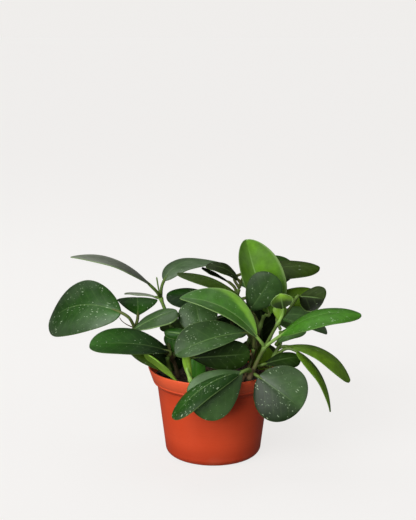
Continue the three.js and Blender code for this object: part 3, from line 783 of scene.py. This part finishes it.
@dataclass(frozen=True)
class ShootFinish:
    """The skin of a shoot: smooth yellow-green when young, brown and rough when woody.

    It reads the shoot's colour `marks`, whose red is its age and whose green is its paleness. The
    scales are in bumps to a metre.
    """

    green: Point = (0.056, 0.088, 0.014)
    fresh: Point = (0.230, 0.400, 0.080)
    wood: Point = (0.085, 0.062, 0.028)
    scar: Point = (0.28, 0.22, 0.13)
    mottle_scale: float = 160.0
    grain_scale: float = 900.0
    scar_share: float = 0.6
    relief: float = 0.25 * MM

    def build(self) -> bpy.types.Material:
        """Mix the finish.

        Returns:
            The material.
        """
        mix = Recipe("shoot_skin")
        place = mix.add("ShaderNodeTexCoord")["Object"]
        marked = mix.add("ShaderNodeAttribute", {"attribute_name": "marks"})
        marks = mix.add("ShaderNodeSeparateColor", None, {"Color": marked["Color"]})
        mottle = mix.noise(place, self.mottle_scale, 3.0)
        grain = mix.noise(mix.stretched(place, (1.0, 1.0, 0.2)), self.grain_scale, 3.0)
        colour = mix.mix(marks["Green"], self.green, self.fresh)
        woody = (marks["Red"] * 1.1 + (mottle - 0.5) * 0.5).step(0.25, 0.75)
        colour = mix.mix(woody, colour, self.wood)
        colour = mix.shade(colour, mottle * 0.5 + grain * 0.35 + 0.55)
        colour = mix.mix(grain.step(0.66, 0.74) * woody * self.scar_share, colour, self.scar)
        mix.bump(mottle + grain * woody * 1.5, self.relief)
        return mix.dress(Base_Color=colour, Roughness=woody * 0.2 + 0.5, Specular_IOR_Level=0.2)


@dataclass(frozen=True)
class PotFinish:
    """Terracotta-coloured moulded plastic: satin, with faint turning lines, scuffs and dust.

    The rim band is paler above the height `band_foot`, and the foot is painted in shade below
    `foot_top`. The scales are in bumps to a metre, and a share says how strongly that mark covers
    the plastic.
    """

    plastic: Point = (0.52, 0.052, 0.014)
    faded: Point = (0.56, 0.066, 0.022)
    dust: Point = (0.50, 0.20, 0.12)
    shade: Point = (0.36, 0.034, 0.010)
    band: Point = (0.74, 0.110, 0.040)
    painted_foot_shade: Point = (0.30, 0.024, 0.006)
    band_foot: float = 0.0886
    foot_top: float = 0.030
    dust_top: float = 0.020
    cloud_scale: float = 26.0
    grit_scale: float = 1400.0
    line_scale: float = 900.0
    streak_scale: float = 170.0
    band_share: float = 0.75
    foot_share: float = 0.6
    faded_share: float = 0.45
    line_share: float = 0.25
    scuff_share: float = 0.15
    dust_share: float = 0.12
    relief: float = 0.12 * MM

    def build(self) -> bpy.types.Material:
        """Mix the finish.

        Returns:
            The material.
        """
        mix = Recipe("pot_plastic")
        place = mix.add("ShaderNodeTexCoord")["Object"]
        height = mix.add("ShaderNodeSeparateXYZ", None, {"Vector": place})["Z"]
        cloud = mix.noise(place, self.cloud_scale, 3.0)
        grit = mix.noise(place, self.grit_scale, 2.0)
        lines = mix.noise(mix.stretched(place, (0.04, 0.04, 1.0)), self.line_scale, 2.0)
        band = (height - self.band_foot).step(0.0, 0.003)
        colour = mix.mix(cloud.step(0.35, 0.75) * self.faded_share, self.plastic, self.faded)
        colour = mix.mix(band * self.band_share, colour, self.band)
        colour = mix.mix(lines.step(0.5, 0.8) * self.line_share, colour, self.shade)
        # Painted shade on the rounded foot, darker towards the bottom.
        foot = (self.foot_top - height).step(0.0, 0.022)
        colour = mix.mix(foot * self.foot_share, colour, self.painted_foot_shade)
        streak = mix.noise(mix.stretched(place, (1.0, 1.0, 0.12)), self.streak_scale, 4.0)
        scuff = streak.step(0.66, 0.8) * self.scuff_share
        dusty = (self.dust_top - height).step(0.0, 0.02) * mix.noise(place, 60.0, 4.0).step(0.4, 0.75)
        colour = mix.mix(scuff.math("MAXIMUM", dusty * self.dust_share), colour, self.dust)
        mix.bump(lines * 0.5 + grit * 0.25 + cloud * 0.6, self.relief)
        gloss = grit * 0.1 + cloud * 0.14 + scuff * 0.5 + 0.31
        return mix.dress(Base_Color=colour, Roughness=gloss, IOR=1.49, Specular_IOR_Level=0.25)


@dataclass(frozen=True)
class SoilFinish:
    """Dark potting mix: peat, with bark that is redder and a few dry fibres.

    The scales are in bumps to a metre.
    """

    name: str
    peat: Point = (0.018, 0.011, 0.007)
    bark: Point = (0.075, 0.038, 0.020)
    dry: Point = (0.20, 0.14, 0.09)
    lump_scale: float = 130.0
    grain_scale: float = 700.0
    fibre_scale: float = 900.0
    relief: float = 1.2 * MM

    def build(self) -> bpy.types.Material:
        """Mix the finish.

        Returns:
            The material.
        """
        mix = Recipe(self.name)
        place = mix.add("ShaderNodeTexCoord")["Object"]
        lumps = mix.noise(place, self.lump_scale, 4.0)
        grains = mix.noise(place, self.grain_scale, 4.0)
        fibres = mix.noise(mix.stretched(place, (1.0, 0.25, 1.0)), self.fibre_scale, 2.0)
        colour = mix.mix(lumps.step(0.42, 0.68), self.peat, self.bark)
        colour = mix.shade(colour, grains * 1.4 + 0.35)
        colour = mix.mix(fibres.step(0.7, 0.78) * 0.5, colour, self.dry)
        mix.bump(lumps * 0.8 + grains * 0.6, self.relief)
        return mix.dress(Base_Color=colour, Roughness=0.92)


# ---- leafy stems -----------------------------------------------------------------------------

FAR_OFFSET = 500.0      # the grain map's reading on a midrib, so that no two blades' flecks match
THROUGH = (0.150, 0.340, 0.022)     # the colour of light that shines through a young blade
KNOBS, KNOB_SCALE = 0.05, 190.0     # how rough a shoot's outline is, and its knobs to a metre
STALK_PALENESS = {Tone.YOUNG: 0.8, Tone.FRESH: 0.6, Tone.PALE: 0.8}


@dataclass(frozen=True)
class BladeForm:
    """The fine form of every blade, in millimetres.

    The section is a flat superellipse with a groove over the midrib and a keel under it. `crease`
    is the share of the cup that swells each half of the blade, `wave` how far its edges ripple and
    `ripples` how often. `crowd` draws points to the midrib, and `ends` is the turn over which the
    blade thins out at its base and tip. `step` sets the blades' grain maps apart.
    """

    around: int = 48
    rows: int = 42
    thickness: float = 1.6
    squareness: float = 4.0
    crowd: float = 1.35
    groove: float = 0.35
    keel: float = 0.55
    rib_width: float = 1.3
    crease: float = 0.45
    wave: float = 0.5
    ripples: float = 11.0
    ends: float = 0.16
    step: float = 137.0
    # How far the half of a blade that is painted lighter also carries more painted sheen.
    lean_sheen: float = 1.6


@dataclass(frozen=True)
class StalkForm:
    """The form of every leaf stalk, in millimetres.

    It is `foot` thick at the stem, easing over `flare`, and `end` thick under the blade, along
    which it runs for the share `sunk` of the blade's length. `old` is its age, from 0 to 1, on a
    woody stem and `young` on any other.
    """

    around: int = 12
    rows: int = 22
    radius: float = 1.85
    foot: float = 2.1
    flare: float = 3.0
    end: float = 0.7
    sunk: float = 0.16
    young: float = 0.12
    old: float = 0.42


@dataclass(frozen=True)
class ShootForm:
    """The form of every shoot, in millimetres: `knuckle` swells it where leaves part from it."""

    around: int = 14
    row_gap: float = 1.6
    radius: float = 2.45
    knuckle: float = 0.45
    knuckle_reach: float = 3.6
    waist: float = 0.2
    ease: float = 5.0


class Blade:
    """One blade: the rule that puts every point of its skin in place."""

    def __init__(self, leaf: Leaf, form: BladeForm, number: int) -> None:
        """Set up the blade's directions.

        Args:
            leaf: The leaf that the blade belongs to.
            form: The fine form of a blade.
            number: Number of the blade, which sets its own ripple and flecks.
        """
        self.leaf, self.form, self.number = leaf, form, number
        self.base = Vector(leaf.base)
        self.along = Vector(leaf.tip) - self.base
        self.length = self.along.length
        self.along.normalize()
        face = Vector(leaf.face)
        self.up = (face - self.along * face.dot(self.along)).normalized()
        self.across = self.along.cross(self.up)
        widest = 2 * math.atan(math.sqrt((1 + 2 * leaf.taper) / (1 + 2 * leaf.sharp)))
        self.peak = self._outline(widest)

    def _outline(self, turn: float) -> float:
        """The blade's width at a turn, on a scale of its own."""
        base = math.sin(turn / 2) ** (2 * self.leaf.taper)
        return math.sin(turn) * base * max(0.0, math.cos(turn / 2)) ** (2 * self.leaf.sharp)

    def spread(self, turn: float) -> float:
        """The blade's width at a turn, against its greatest width."""
        return self._outline(turn) / self.peak

    def leaning(self, t: float) -> tuple[Vector, Vector]:
        """The blade's directions where it is twisted.

        Args:
            t: Share of the length.

        Returns:
            The directions across the blade and out of its upper side.
        """
        lean = math.radians(self.leaf.twist) * (t - 0.5)
        return (self.across * math.cos(lean) + self.up * math.sin(lean),
                self.up * math.cos(lean) - self.across * math.sin(lean))

    def middle(self, turn: float, side: float) -> Vector:
        """A point of the blade's middle surface.

        Args:
            turn: 0 at the base to pi at the tip.
            side: -1 to 1 from edge to edge.

        Returns:
            The point, in millimetres.
        """
        leaf, form = self.leaf, self.form
        t = (1 - math.cos(turn)) / 2
        spread = self.spread(turn)
        bend = 4 * t * (1 - t)
        across, up = self.leaning(t)
        swell = form.crease * (abs(side) - side * side)
        phase = self.number * form.step + math.copysign(2.2, side)
        ripple = form.wave * side * side * math.sin(form.ripples * t + phase)
        drop = leaf.cup * (side * side - swell) + leaf.fold * abs(side) - ripple * bend
        return (self.base + self.along * (t * self.length) + across * (side * leaf.wide / 2 * spread)
                + (self.across * leaf.bow + self.up * leaf.arch) * bend - up * (drop * spread))

    def side_of(self, spin: float) -> float:
        """The place across the blade, -1 to 1, with more points near the midrib."""
        reach = math.cos(spin)
        return math.copysign(abs(reach) ** self.form.crowd, reach)

    def place(self, turn: float, spin: float) -> Vector:
        """A point of the blade's skin.

        Args:
            turn: 0 at the base to pi at the tip.
            spin: Angle round the section, 0 at the + edge.

        Returns:
            The point, in metres.
        """
        form = self.form
        side = self.side_of(spin)
        t = (1 - math.cos(turn)) / 2
        section = (1 - abs(side) ** form.squareness) ** (1 / form.squareness)
        end = min(1.0, math.sin(turn) / math.sin(form.ends)) ** 0.5
        half = form.thickness / 2 * section * end
        off_rib = side * self.leaf.wide / 2 * self.spread(turn) / form.rib_width
        rib = math.exp(-off_rib * off_rib) * (1 - t) ** 0.7 * end
        level = half - form.groove * rib if math.sin(spin) > 0 else -half - form.keel * rib
        return (self.middle(turn, side) + self.leaning(t)[1] * level) * MM

    def tone_at(self, t: float, side: float) -> Vector:
        """The blade's colour at a place, with its painted light and shade.

        Args:
            t: Share of the length.
            side: Place across, from -1 to 1.

        Returns:
            The linear colour.
        """
        leaf = self.leaf
        # Painted light and shade: one half lighter by lean, the tone scaled by lit, shade towards the
        # base by dim, and painted light shining through by glow.
        slant = leaf.lean * max(-1.0, min(1.0, 3 * side))
        lit = leaf.lit * max(0.1, 1 - leaf.dim * (1 - t) ** 1.2) * (1 + slant)
        through = leaf.glow * min(1.0, max(0.0, 6 * side - 0.8 - 6 * t))
        return (Vector(leaf.tone.value) * lit).lerp(Vector(THROUGH), through)

    def dress(self, bm: bmesh.types.BMesh, layers: "BladeLayers") -> None:
        """Grow the blade's skin and write its maps and colours.

        Args:
            bm: The bmesh that the skin is added to.
            layers: The layers to write.
        """
        leaf = self.leaf
        order: list[tuple[float, float]] = []

        def placed(turn: float, spin: float) -> Vector:
            """Place a point and keep its turn and spin for the maps."""
            order.append((turn, spin))
            return self.place(turn, spin)

        skin = grow_skin(bm, self.form.around, self.form.rows, placed)
        start = self.number * self.form.step
        for vert, (turn, spin) in zip(skin, order):
            side = self.side_of(spin)
            under = 0.5 - 0.5 * max(-1.0, min(1.0, 4 * math.sin(spin)))
            t = (1 - math.cos(turn)) / 2
            # The tone carries the blade's painted light and shade; the grey wax film and its painted
            # sheen lean to the lighter half.
            vert[layers.tone] = (*self.tone_at(t, side), 1.0)
            bloom_and_sheen = min(1.0, leaf.bloom_and_sheen * (1 + self.form.lean_sheen * leaf.lean * side))
            vert[layers.marks] = (leaf.flecks, bloom_and_sheen, under, leaf.edge)
            width = side * leaf.wide / 2 * self.spread(turn)
            for loop in vert.link_loops:
                loop[layers.leaf].uv = (t, side)
                loop[layers.grain].uv = (start + t * self.length, width + FAR_OFFSET)


@dataclass
class BladeLayers:
    """The maps and colours that a blade's skin carries."""

    tone: bmesh.types.BMLayerItem
    marks: bmesh.types.BMLayerItem
    leaf: bmesh.types.BMLayerItem
    grain: bmesh.types.BMLayerItem


class LeafyStem:
    """One leafy stem, which stands for its CAD node with a shoot and a set of blades."""

    def __init__(self, name: str, stem: Stem, first: int) -> None:
        """Take the stem's table.

        Args:
            name: Name of the CAD node.
            stem: The stem's table.
            first: Number of its first blade among all blades of the plant.
        """
        self.name, self.stem = name, stem
        self.blade_form, self.stalk_form, self.shoot_form = BladeForm(), StalkForm(), ShootForm()
        self.blades = [Blade(leaf, self.blade_form, first + k) for k, leaf in enumerate(stem.leaves)]

    def _tube(self, bm: bmesh.types.BMesh, path: Path, around: int, rows: int,
              radius: Callable[[float], float], age: Callable[[float], float],
              pale: Callable[[float], float]) -> None:
        """Grow a round closed tube along a path, with its age and paleness in its colours.

        Args:
            bm: The bmesh that the tube is added to.
            path: The tube's middle line.
            around: Points round the tube.
            rows: Points along it.
            radius: Its radius in metres, from the share of the length.
            age: Its age, from 0 to 1, from the share of the length.
            pale: How pale its green is, from 0 to 1, from the share of the length.
        """
        marks = bm.verts.layers.float_color["marks"]
        shares: list[float] = []

        def place(turn: float, spin: float) -> Vector:
            """A point of the tube, which closes with round ends.

            Args:
                turn: 0 at the tube's start to pi at its end.
                spin: Angle round the tube.

            Returns:
                The point, in metres.
            """
            share = turn / math.pi
            shares.append(share)
            spot, side, other = path.at(share)
            wide = radius(share)
            near = min(share, 1 - share) * path.length / wide
            wide *= math.sqrt(1 - (1 - min(1.0, near)) ** 2)
            knobs = 1 + KNOBS * noise.noise(spot * KNOB_SCALE + side * math.cos(spin) * 1.5)
            return spot + (side * math.cos(spin) + other * math.sin(spin)) * wide * knobs

        for vert, share in zip(grow_skin(bm, around, rows, place), shares):
            vert[marks] = (age(share), pale(share), 0.0, 1.0)

    def _shoot(self, bm: bmesh.types.BMesh) -> None:
        """Grow the bare stem, knuckled where its leaves part from it.

        Args:
            bm: The bmesh that the stem is added to.
        """
        form, stem = self.shoot_form, self.stem
        path = Path([metres(point) for point in stem.line])
        knuckles = [path.share_of_knot(at) * path.length for at in {leaf.at for leaf in stem.leaves}]
        slim_run = path.share_of_knot(stem.slim_from) * path.length
        brown = stem.bark.value

        def swell(share: float) -> float:
            """How much a knuckle swells the stem at a share of its length, from 0 to 1."""
            reach = form.knuckle_reach * MM
            return min(1.0, sum(math.exp(-(((share * path.length - k) / reach) ** 2)) for k in knuckles))

        def radius(share: float) -> float:
            """The stem's radius: a slow taper, a swelling at each knuckle and a thinner end.

            Args:
                share: Share of the length.

            Returns:
                The radius, in metres.
            """
            thick = form.radius * (1 - form.waist * share)
            if stem.slim_from:
                past = (share * path.length - slim_run) / (form.ease * MM)
                thick += (stem.slim_radius - thick) * max(0.0, min(1.0, past))
            return thick * MM * (1 + form.knuckle * swell(share))

        rows = round(path.length / (form.row_gap * MM))
        self._tube(bm, path, form.around, rows, radius, lambda share: max(0.0, 1 - share / (2 * brown)),
                   lambda share: stem.pale + 0.5 * swell(share) * (1 - stem.pale))

    def _stalk(self, bm: bmesh.types.BMesh, blade: Blade) -> None:
        """Grow the stalk that carries a blade, ending in the blade's keel.

        Args:
            bm: The bmesh that the stalk is added to.
            blade: The blade.
        """
        form, leaf = self.stalk_form, blade.leaf
        start, base = Vector(self.stem.line[leaf.at]), blade.base
        reach = [2 * math.asin(math.sqrt(share)) for share in (form.sunk / 2, form.sunk)]
        under = blade.up * (blade.form.thickness / 2)
        end = blade.middle(reach[1], 0) - under
        heading = (end - base).normalized()
        span = (base - start).length
        middle = start.lerp(base, 0.55).lerp(base - heading * (span / 2), 0.5)
        knots = [start, middle, base, blade.middle(reach[0], 0) - under * 0.5, end]
        path = Path([knot * MM for knot in knots])
        joint = path.share_of_knot(2)

        def radius(share: float) -> float:
            """The stalk's radius: flared at the stem, thin under the blade.

            Args:
                share: Share of the length.

            Returns:
                The radius, in metres.
            """
            flare = (form.foot - form.radius) * math.exp(-share * path.length / (form.flare * MM))
            fade = max(0.0, (share - joint) / (1 - joint))
            return (form.radius + flare + (form.end - form.radius) * fade ** 0.8) * MM

        pale = STALK_PALENESS.get(leaf.tone, 0.2)
        age = form.old if self.stem.bark is Bark.WOODY else form.young
        self._tube(bm, path, form.around, form.rows, radius, lambda share: age, lambda share: pale)

    def _sprig(self, bm: bmesh.types.BMesh, sprig: Sprig) -> None:
        """Grow a thin bare outgrowth: a runner's tip, a bract or a cut stub.

        Args:
            bm: The bmesh that the outgrowth is added to.
            sprig: The outgrowth.
        """
        path = Path([metres(point) for point in sprig.points])
        self._tube(bm, path, 10, 24, lambda share: (sprig.root + (sprig.tip - sprig.root) * share) * MM,
                   lambda share: sprig.age, lambda share: 0.0)

    def build(self, blade_finish: bpy.types.Material, shoot_finish: bpy.types.Material) -> None:
        """Grow both pieces, hang them on the frame and report them.

        Args:
            blade_finish: Material of the blades.
            shoot_finish: Material of the shoot and the stalks.
        """
        bm = bmesh.new()
        bm.verts.layers.float_color.new("marks")
        self._shoot(bm)
        for blade in self.blades:
            self._stalk(bm, blade)
        for sprig in self.stem.sprigs:
            self._sprig(bm, sprig)
        bmesh.ops.recalc_face_normals(bm, faces=bm.faces)
        shoot = mesh_object(f"{self.name}_shoot", bm, [shoot_finish])
        place_piece(shoot, "stem", self.name)

        bm = bmesh.new()
        layers = BladeLayers(bm.verts.layers.float_color.new("tone"),
                             bm.verts.layers.float_color.new("marks"),
                             bm.loops.layers.uv.new("leaf"), bm.loops.layers.uv.new("grain"))
        for blade in self.blades:
            blade.dress(bm, layers)
        bmesh.ops.recalc_face_normals(bm, faces=bm.faces)
        blades = mesh_object(f"{self.name}_blades", bm, [blade_finish])
        place_piece(blades, "leaf", self.name)


def place_piece(piece: bpy.types.Object, slot: str, *nodes: str) -> None:
    """Hang a piece on the frame's one body, in the place of CAD nodes.

    Args:
        piece: The finished piece.
        slot: Not used.
        nodes: The CAD nodes that it stands for.
    """
    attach(piece, "root")
    if nodes:
        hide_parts(*nodes)
    LOG.info("%s: %d faces, for %s", piece.name, len(piece.data.polygons), ", ".join(nodes) or "-")


# ---- pot and soil ----------------------------------------------------------------------------


@dataclass
class NurseryPot:
    """A tapered pot with a deep rim band, a groove under it, a foot ring and drain holes.

    `foot_start` and `ring_half` are angles in degrees on the rounded foot: where it leaves the
    flat underside, and half of what the ring's groove takes up.
    """

    height: float = 106 * MM
    rim_radius: float = 76 * MM
    band_radius: float = 70.3 * MM
    band_height: float = 17.4 * MM
    body_radius: float = 65.5 * MM
    shoulder_height: float = 22.2 * MM
    foot_radius: float = 56.3 * MM
    foot_rounding: float = 9 * MM
    wall: float = 2.2 * MM
    floor: float = 3 * MM
    lip: float = 0.9 * MM
    groove: float = 0.5 * MM
    ring_height: float = 3.6 * MM
    ring_half: float = 4.0
    foot_start: float = -72.0
    steps: int = 128
    drains: int = 6
    drain_radius: float = 4 * MM
    drain_ring: float = 34 * MM

    def _outside(self, height: float) -> float:
        """Outer radius of the tapered body at a height between the foot and the shoulder."""
        share = (height - self.foot_rounding) / (self.height - self.shoulder_height - self.foot_rounding)
        return self.foot_radius + (self.body_radius - self.foot_radius) * share

    def _outline(self) -> list[tuple[float, float]]:
        """The pot's section.

        Returns:
            Points of (radius, height) from the middle of the underside, round the rim, to the floor.
        """
        band_foot = self.height - self.band_height
        body_top = self.height - self.shoulder_height
        foot = self.foot_radius - self.foot_rounding
        ring = math.asin(self.ring_height / self.foot_rounding - 1)
        lip, wall, groove = self.lip, self.wall, self.groove
        slope = (self.rim_radius - self.band_radius) / self.band_height
        middle, reach = (foot, self.foot_rounding), self.foot_rounding
        rounded = [
            *arc(middle, reach, self.foot_start, math.degrees(ring) - self.ring_half, 8),
            (foot + reach * math.cos(ring) - groove * 0.6, reach * (1 + math.sin(ring))),
            *arc(middle, reach, math.degrees(ring) + self.ring_half, 0, 8),
        ]
        return [
            (0, 0), (foot * 0.5, 0), (foot, 0), *rounded,
            *[(self._outside(z), z) for z in (0.03, 0.05, 0.07)],
            (self.body_radius, body_top),
            (self.body_radius + 0.3 * MM, body_top + 0.5 * MM),
            (self.band_radius - 1.2 * MM, band_foot - 0.9 * MM),
            (self.band_radius - 0.3 * MM, band_foot - 0.3 * MM),
            (self.band_radius, band_foot + 0.3 * MM),
            (self.band_radius + slope * 1.2 * MM, band_foot + 1.2 * MM),
            (self.band_radius + slope * 1.9 * MM - groove, band_foot + 1.7 * MM),
            (self.band_radius + slope * 2.4 * MM - groove, band_foot + 2.4 * MM),
            (self.band_radius + slope * 3.1 * MM, band_foot + 3.0 * MM),
            *arc((self.rim_radius - lip, self.height - lip), lip, 0, 90, 5),
            *arc((self.rim_radius - wall + lip, self.height - lip), lip, 90, 180, 5),
            (self.band_radius - wall, band_foot), (self.body_radius - wall, body_top),
            (self.foot_radius - wall, self.foot_rounding), (foot, self.floor), (0, self.floor),
        ]

    def build(self, finish: bpy.types.Material) -> None:
        """Turn the pot, drill its drain holes and hang it on the frame.

        Args:
            finish: Material of the pot.
        """
        bm = bmesh.new()
        turned(bm, self._outline(), self.steps)
        pot = mesh_object("pot_shell", bm, [finish])
        bm = bmesh.new()
        for k in range(self.drains):
            angle = 2 * math.pi * (k + 0.5) / self.drains
            spot = (self.drain_ring * math.cos(angle), self.drain_ring * math.sin(angle), self.floor / 2)
            bmesh.ops.create_cone(bm, cap_ends=True, segments=28, radius1=self.drain_radius,
                                  radius2=self.drain_radius, depth=4 * self.floor,
                                  matrix=Matrix.Translation(spot))
        drill = mesh_object("drain_drill", bm, [])
        cut = pot.modifiers.new("drains", "BOOLEAN")
        cut.operation, cut.solver, cut.object = "DIFFERENCE", "EXACT", drill
        graph = bpy.context.evaluated_depsgraph_get()
        drilled = bpy.data.meshes.new_from_object(pot.evaluated_get(graph))
        pot.modifiers.clear()
        pot.data = drilled
        bpy.data.objects.remove(drill)
        drilled.polygons.foreach_set("use_smooth", [True] * len(drilled.polygons))
        drilled.set_sharp_from_angle(angle=math.radians(40))
        place_piece(pot, "pot_plastic", "pot")


@dataclass
class PottingSoil:
    """The fill of the pot: a rough low mound with loose crumbs of bark on it."""

    under: float = 3.35 * MM
    side_gap: float = 0.35 * MM
    edge_drop: float = 0.4 * MM
    top: float = 92 * MM
    dome: float = 3 * MM
    relief: float = 1.6 * MM
    rings: int = 46
    steps: int = 128
    crumbs: int = 620
    crumb_size: float = 1.3 * MM
    chip_size: float = 3.2 * MM
    chip_share: float = 0.14
    seed: int = 11

    def _height(self, x: float, y: float, reach: float) -> float:
        """Height of the mound's surface at a place, with its lumps.

        Args:
            x: Place along X.
            y: Place along Y.
            reach: Radius of the mound.

        Returns:
            The height, in metres.
        """
        share = min(1.0, math.hypot(x, y) / reach)
        lumps = noise.fractal(Vector((x, y, 0.0)) * 95.0, 0.9, 2.1, 4)
        fade = min(1.0, (1 - share) * 8)
        rough = self.relief * (lumps * 0.6 - 0.5) * fade
        return self.top + self.dome * (1 - share * share) + rough

    def build(self, pot: NurseryPot, fill_finish: bpy.types.Material,
              crumb_finish: bpy.types.Material) -> None:
        """Fill the pot and strew the crumbs.

        Args:
            pot: The pot that holds the soil.
            fill_finish: Material of the fill.
            crumb_finish: Material of the crumbs.
        """
        inner = pot.wall + self.side_gap
        band_foot = pot.height - pot.band_height
        body_top = pot.height - pot.shoulder_height
        slope = (pot.rim_radius - pot.band_radius) / pot.band_height
        reach = pot.band_radius + slope * (self.top - band_foot) - inner
        foot = pot.foot_radius - pot.foot_rounding - MM
        outline = [(0, self.under), (foot, self.under),
                   (pot.foot_radius - inner, pot.foot_rounding + MM),
                   (pot.body_radius - inner, body_top), (pot.band_radius - inner, band_foot)]
        outline += [(reach * (1 - k / self.rings), self.top) for k in range(self.rings)]
        bm = bmesh.new()
        turned(bm, [*outline, (0, self.top)], self.steps)
        for vert in bm.verts:
            if vert.co.z > self.top - 1e-6:
                vert.co.z = self._height(vert.co.x, vert.co.y, reach)
        fill = mesh_object("soil_fill", bm, [fill_finish])
        place_piece(fill, "potting_soil", "soil")

        bm = bmesh.new()
        draw = random.Random(self.seed)
        for _ in range(self.crumbs):
            far = (reach - 3 * MM) * math.sqrt(draw.random())
            angle = draw.uniform(0, 2 * math.pi)
            x, y = far * math.cos(angle), far * math.sin(angle)
            size = draw.uniform(0.7, 1.0)
            size *= self.chip_size if draw.random() < self.chip_share else self.crumb_size
            form = Vector((draw.uniform(0.8, 1.7), draw.uniform(0.6, 1.1), draw.uniform(0.35, 0.7)))
            turn = Euler([draw.uniform(-0.5, 0.5), draw.uniform(-0.5, 0.5), draw.uniform(0, 6.28)])
            spot = Vector((x, y, self._height(x, y, reach) + size * 0.15))
            matrix = Matrix.LocRotScale(spot, turn.to_quaternion(), form * size)
            lump = bmesh.ops.create_icosphere(bm, subdivisions=1, radius=1.0, matrix=matrix)["verts"]
            for vert in lump:
                vert.co += (vert.co - spot) * draw.uniform(-0.25, 0.15)
        bmesh.ops.recalc_face_normals(bm, faces=bm.faces)
        crumbs = mesh_object("bark_crumbs", bm, [crumb_finish], smooth=False)
        place_piece(crumbs, "potting_soil", "soil")


# ---- studio ----------------------------------------------------------------------------------


@dataclass
class Studio:
    """A plain pale floor, soft studio light and the camera.

    Each light has its strength, its size and its turn, in radians, and `fill` is the room's own
    light. Places are in metres.
    """

    floor_reach: float = 30.0
    floor_colour: Point = (0.12, 0.12, 0.12)
    floor_glow: Point = (0.78, 0.765, 0.75)
    backdrop: Point = (0.868, 0.852, 0.836)
    fill: float = 0.11
    key: float = 4.0
    key_size: float = math.radians(50)
    key_turn: Point = (math.radians(66), 0.0, math.radians(-33))
    side: float = 0.55
    side_size: float = math.radians(70)
    side_turn: Point = (math.radians(72), 0.0, math.radians(62))
    top: float = 14.0
    top_size: float = 1.6
    top_place: Point = (-0.5, 0.5, 1.6)
    top_turn: Point = (math.radians(-18), 0.0, 0.0)
    eye: Point = (0.0, -1.300, 0.5029)
    pitch: float = math.radians(11.82)
    heading: float = math.radians(0.27)
    lens: float = 80.1
    film: float = 36.0

    def _floor(self) -> None:
        """Lay the floor, which glows so that the plant's shadow on it is faint."""
        bm = bmesh.new()
        bmesh.ops.create_grid(bm, x_segments=2, y_segments=2, size=self.floor_reach)
        mix = Recipe("studio_floor")
        finish = mix.dress(Base_Color=(*self.floor_colour, 1.0), Roughness=0.9,
                           Emission_Color=(*self.floor_glow, 1.0), Emission_Strength=1.0)
        mix.shader.inputs["Specular IOR Level"].default_value = 0.1
        floor = mesh_object("studio_floor", bm, [finish])
        floor.visible_diffuse = floor.visible_glossy = False

    def _sun(self, name: str, energy: float, size: float, turn: Point) -> None:
        """Hang one soft far light.

        Args:
            name: Name of the light.
            energy: Its strength.
            size: The angle that it takes up in the sky.
            turn: Its rotation.
        """
        light = bpy.data.lights.new(name, "SUN")
        light.energy, light.angle = energy, size
        lamp = bpy.data.objects.new(name, light)
        lamp.rotation_euler = turn
        bpy.context.scene.collection.objects.link(lamp)

    def _lights(self) -> None:
        """Hang the key on the front left, a weak side light, a panel above, and fill the room."""
        self._sun("key", self.key, self.key_size, self.key_turn)
        self._sun("side", self.side, self.side_size, self.side_turn)
        top = bpy.data.lights.new("top", "AREA")
        top.energy, top.size = self.top, self.top_size
        panel = bpy.data.objects.new("top", top)
        panel.location, panel.rotation_euler = self.top_place, self.top_turn
        bpy.context.scene.collection.objects.link(panel)
        world = bpy.data.worlds.new("room")
        world.use_nodes = True
        tree = world.node_tree
        tree.nodes.clear()
        room = tree.nodes.new("ShaderNodeBackground")
        room.inputs["Color"].default_value = (1.0, 0.99, 0.98, 1.0)
        room.inputs["Strength"].default_value = self.fill
        seen = tree.nodes.new("ShaderNodeBackground")
        seen.inputs["Color"].default_value = (*self.backdrop, 1.0)
        mixed = tree.nodes.new("ShaderNodeMixShader")
        rays = tree.nodes.new("ShaderNodeLightPath")
        output = tree.nodes.new("ShaderNodeOutputWorld")
        tree.links.new(rays.outputs["Is Camera Ray"], mixed.inputs["Fac"])
        tree.links.new(room.outputs["Background"], mixed.inputs[1])
        tree.links.new(seen.outputs["Background"], mixed.inputs[2])
        tree.links.new(mixed.outputs["Shader"], output.inputs["Surface"])
        bpy.context.scene.world = world

    def _camera(self) -> None:
        """Set the camera where the plant is looked down on a little from the front."""
        lens = bpy.data.cameras.new("camera")
        lens.lens, lens.sensor_fit = self.lens, "VERTICAL"
        lens.sensor_height = self.film
        camera = bpy.data.objects.new("camera", lens)
        camera.location = self.eye
        camera.rotation_euler = (math.pi / 2 - self.pitch, 0.0, self.heading)
        bpy.context.scene.collection.objects.link(camera)
        bpy.context.scene.camera = camera

    def build(self) -> None:
        """Set up the whole studio."""
        self._floor()
        self._lights()
        self._camera()
        bpy.context.scene.view_settings.view_transform = "Standard"
        LOG.info("studio: floor, key light, room light, camera")


# ---- the whole plant -------------------------------------------------------------------------


def main() -> None:
    """Load the frame, dress every node, set up the studio and note the sizes."""
    logging.basicConfig(level=logging.INFO, format="%(name)s: %(message)s")
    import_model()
    Studio().build()
    pot = NurseryPot()
    pot.build(PotFinish().build())
    PottingSoil().build(pot, SoilFinish("soil_fill").build(),
                        SoilFinish("bark_crumbs", peat=(0.035, 0.02, 0.012),
                                   bark=(0.13, 0.07, 0.036)).build())
    blade_finish, shoot_finish = BladeFinish().build(), ShootFinish().build()
    first = 0
    for name, stem in STEMS.items():
        LeafyStem(name, stem, first).build(blade_finish, shoot_finish)
        first += len(stem.leaves)


if __name__ == "__main__":
    main()
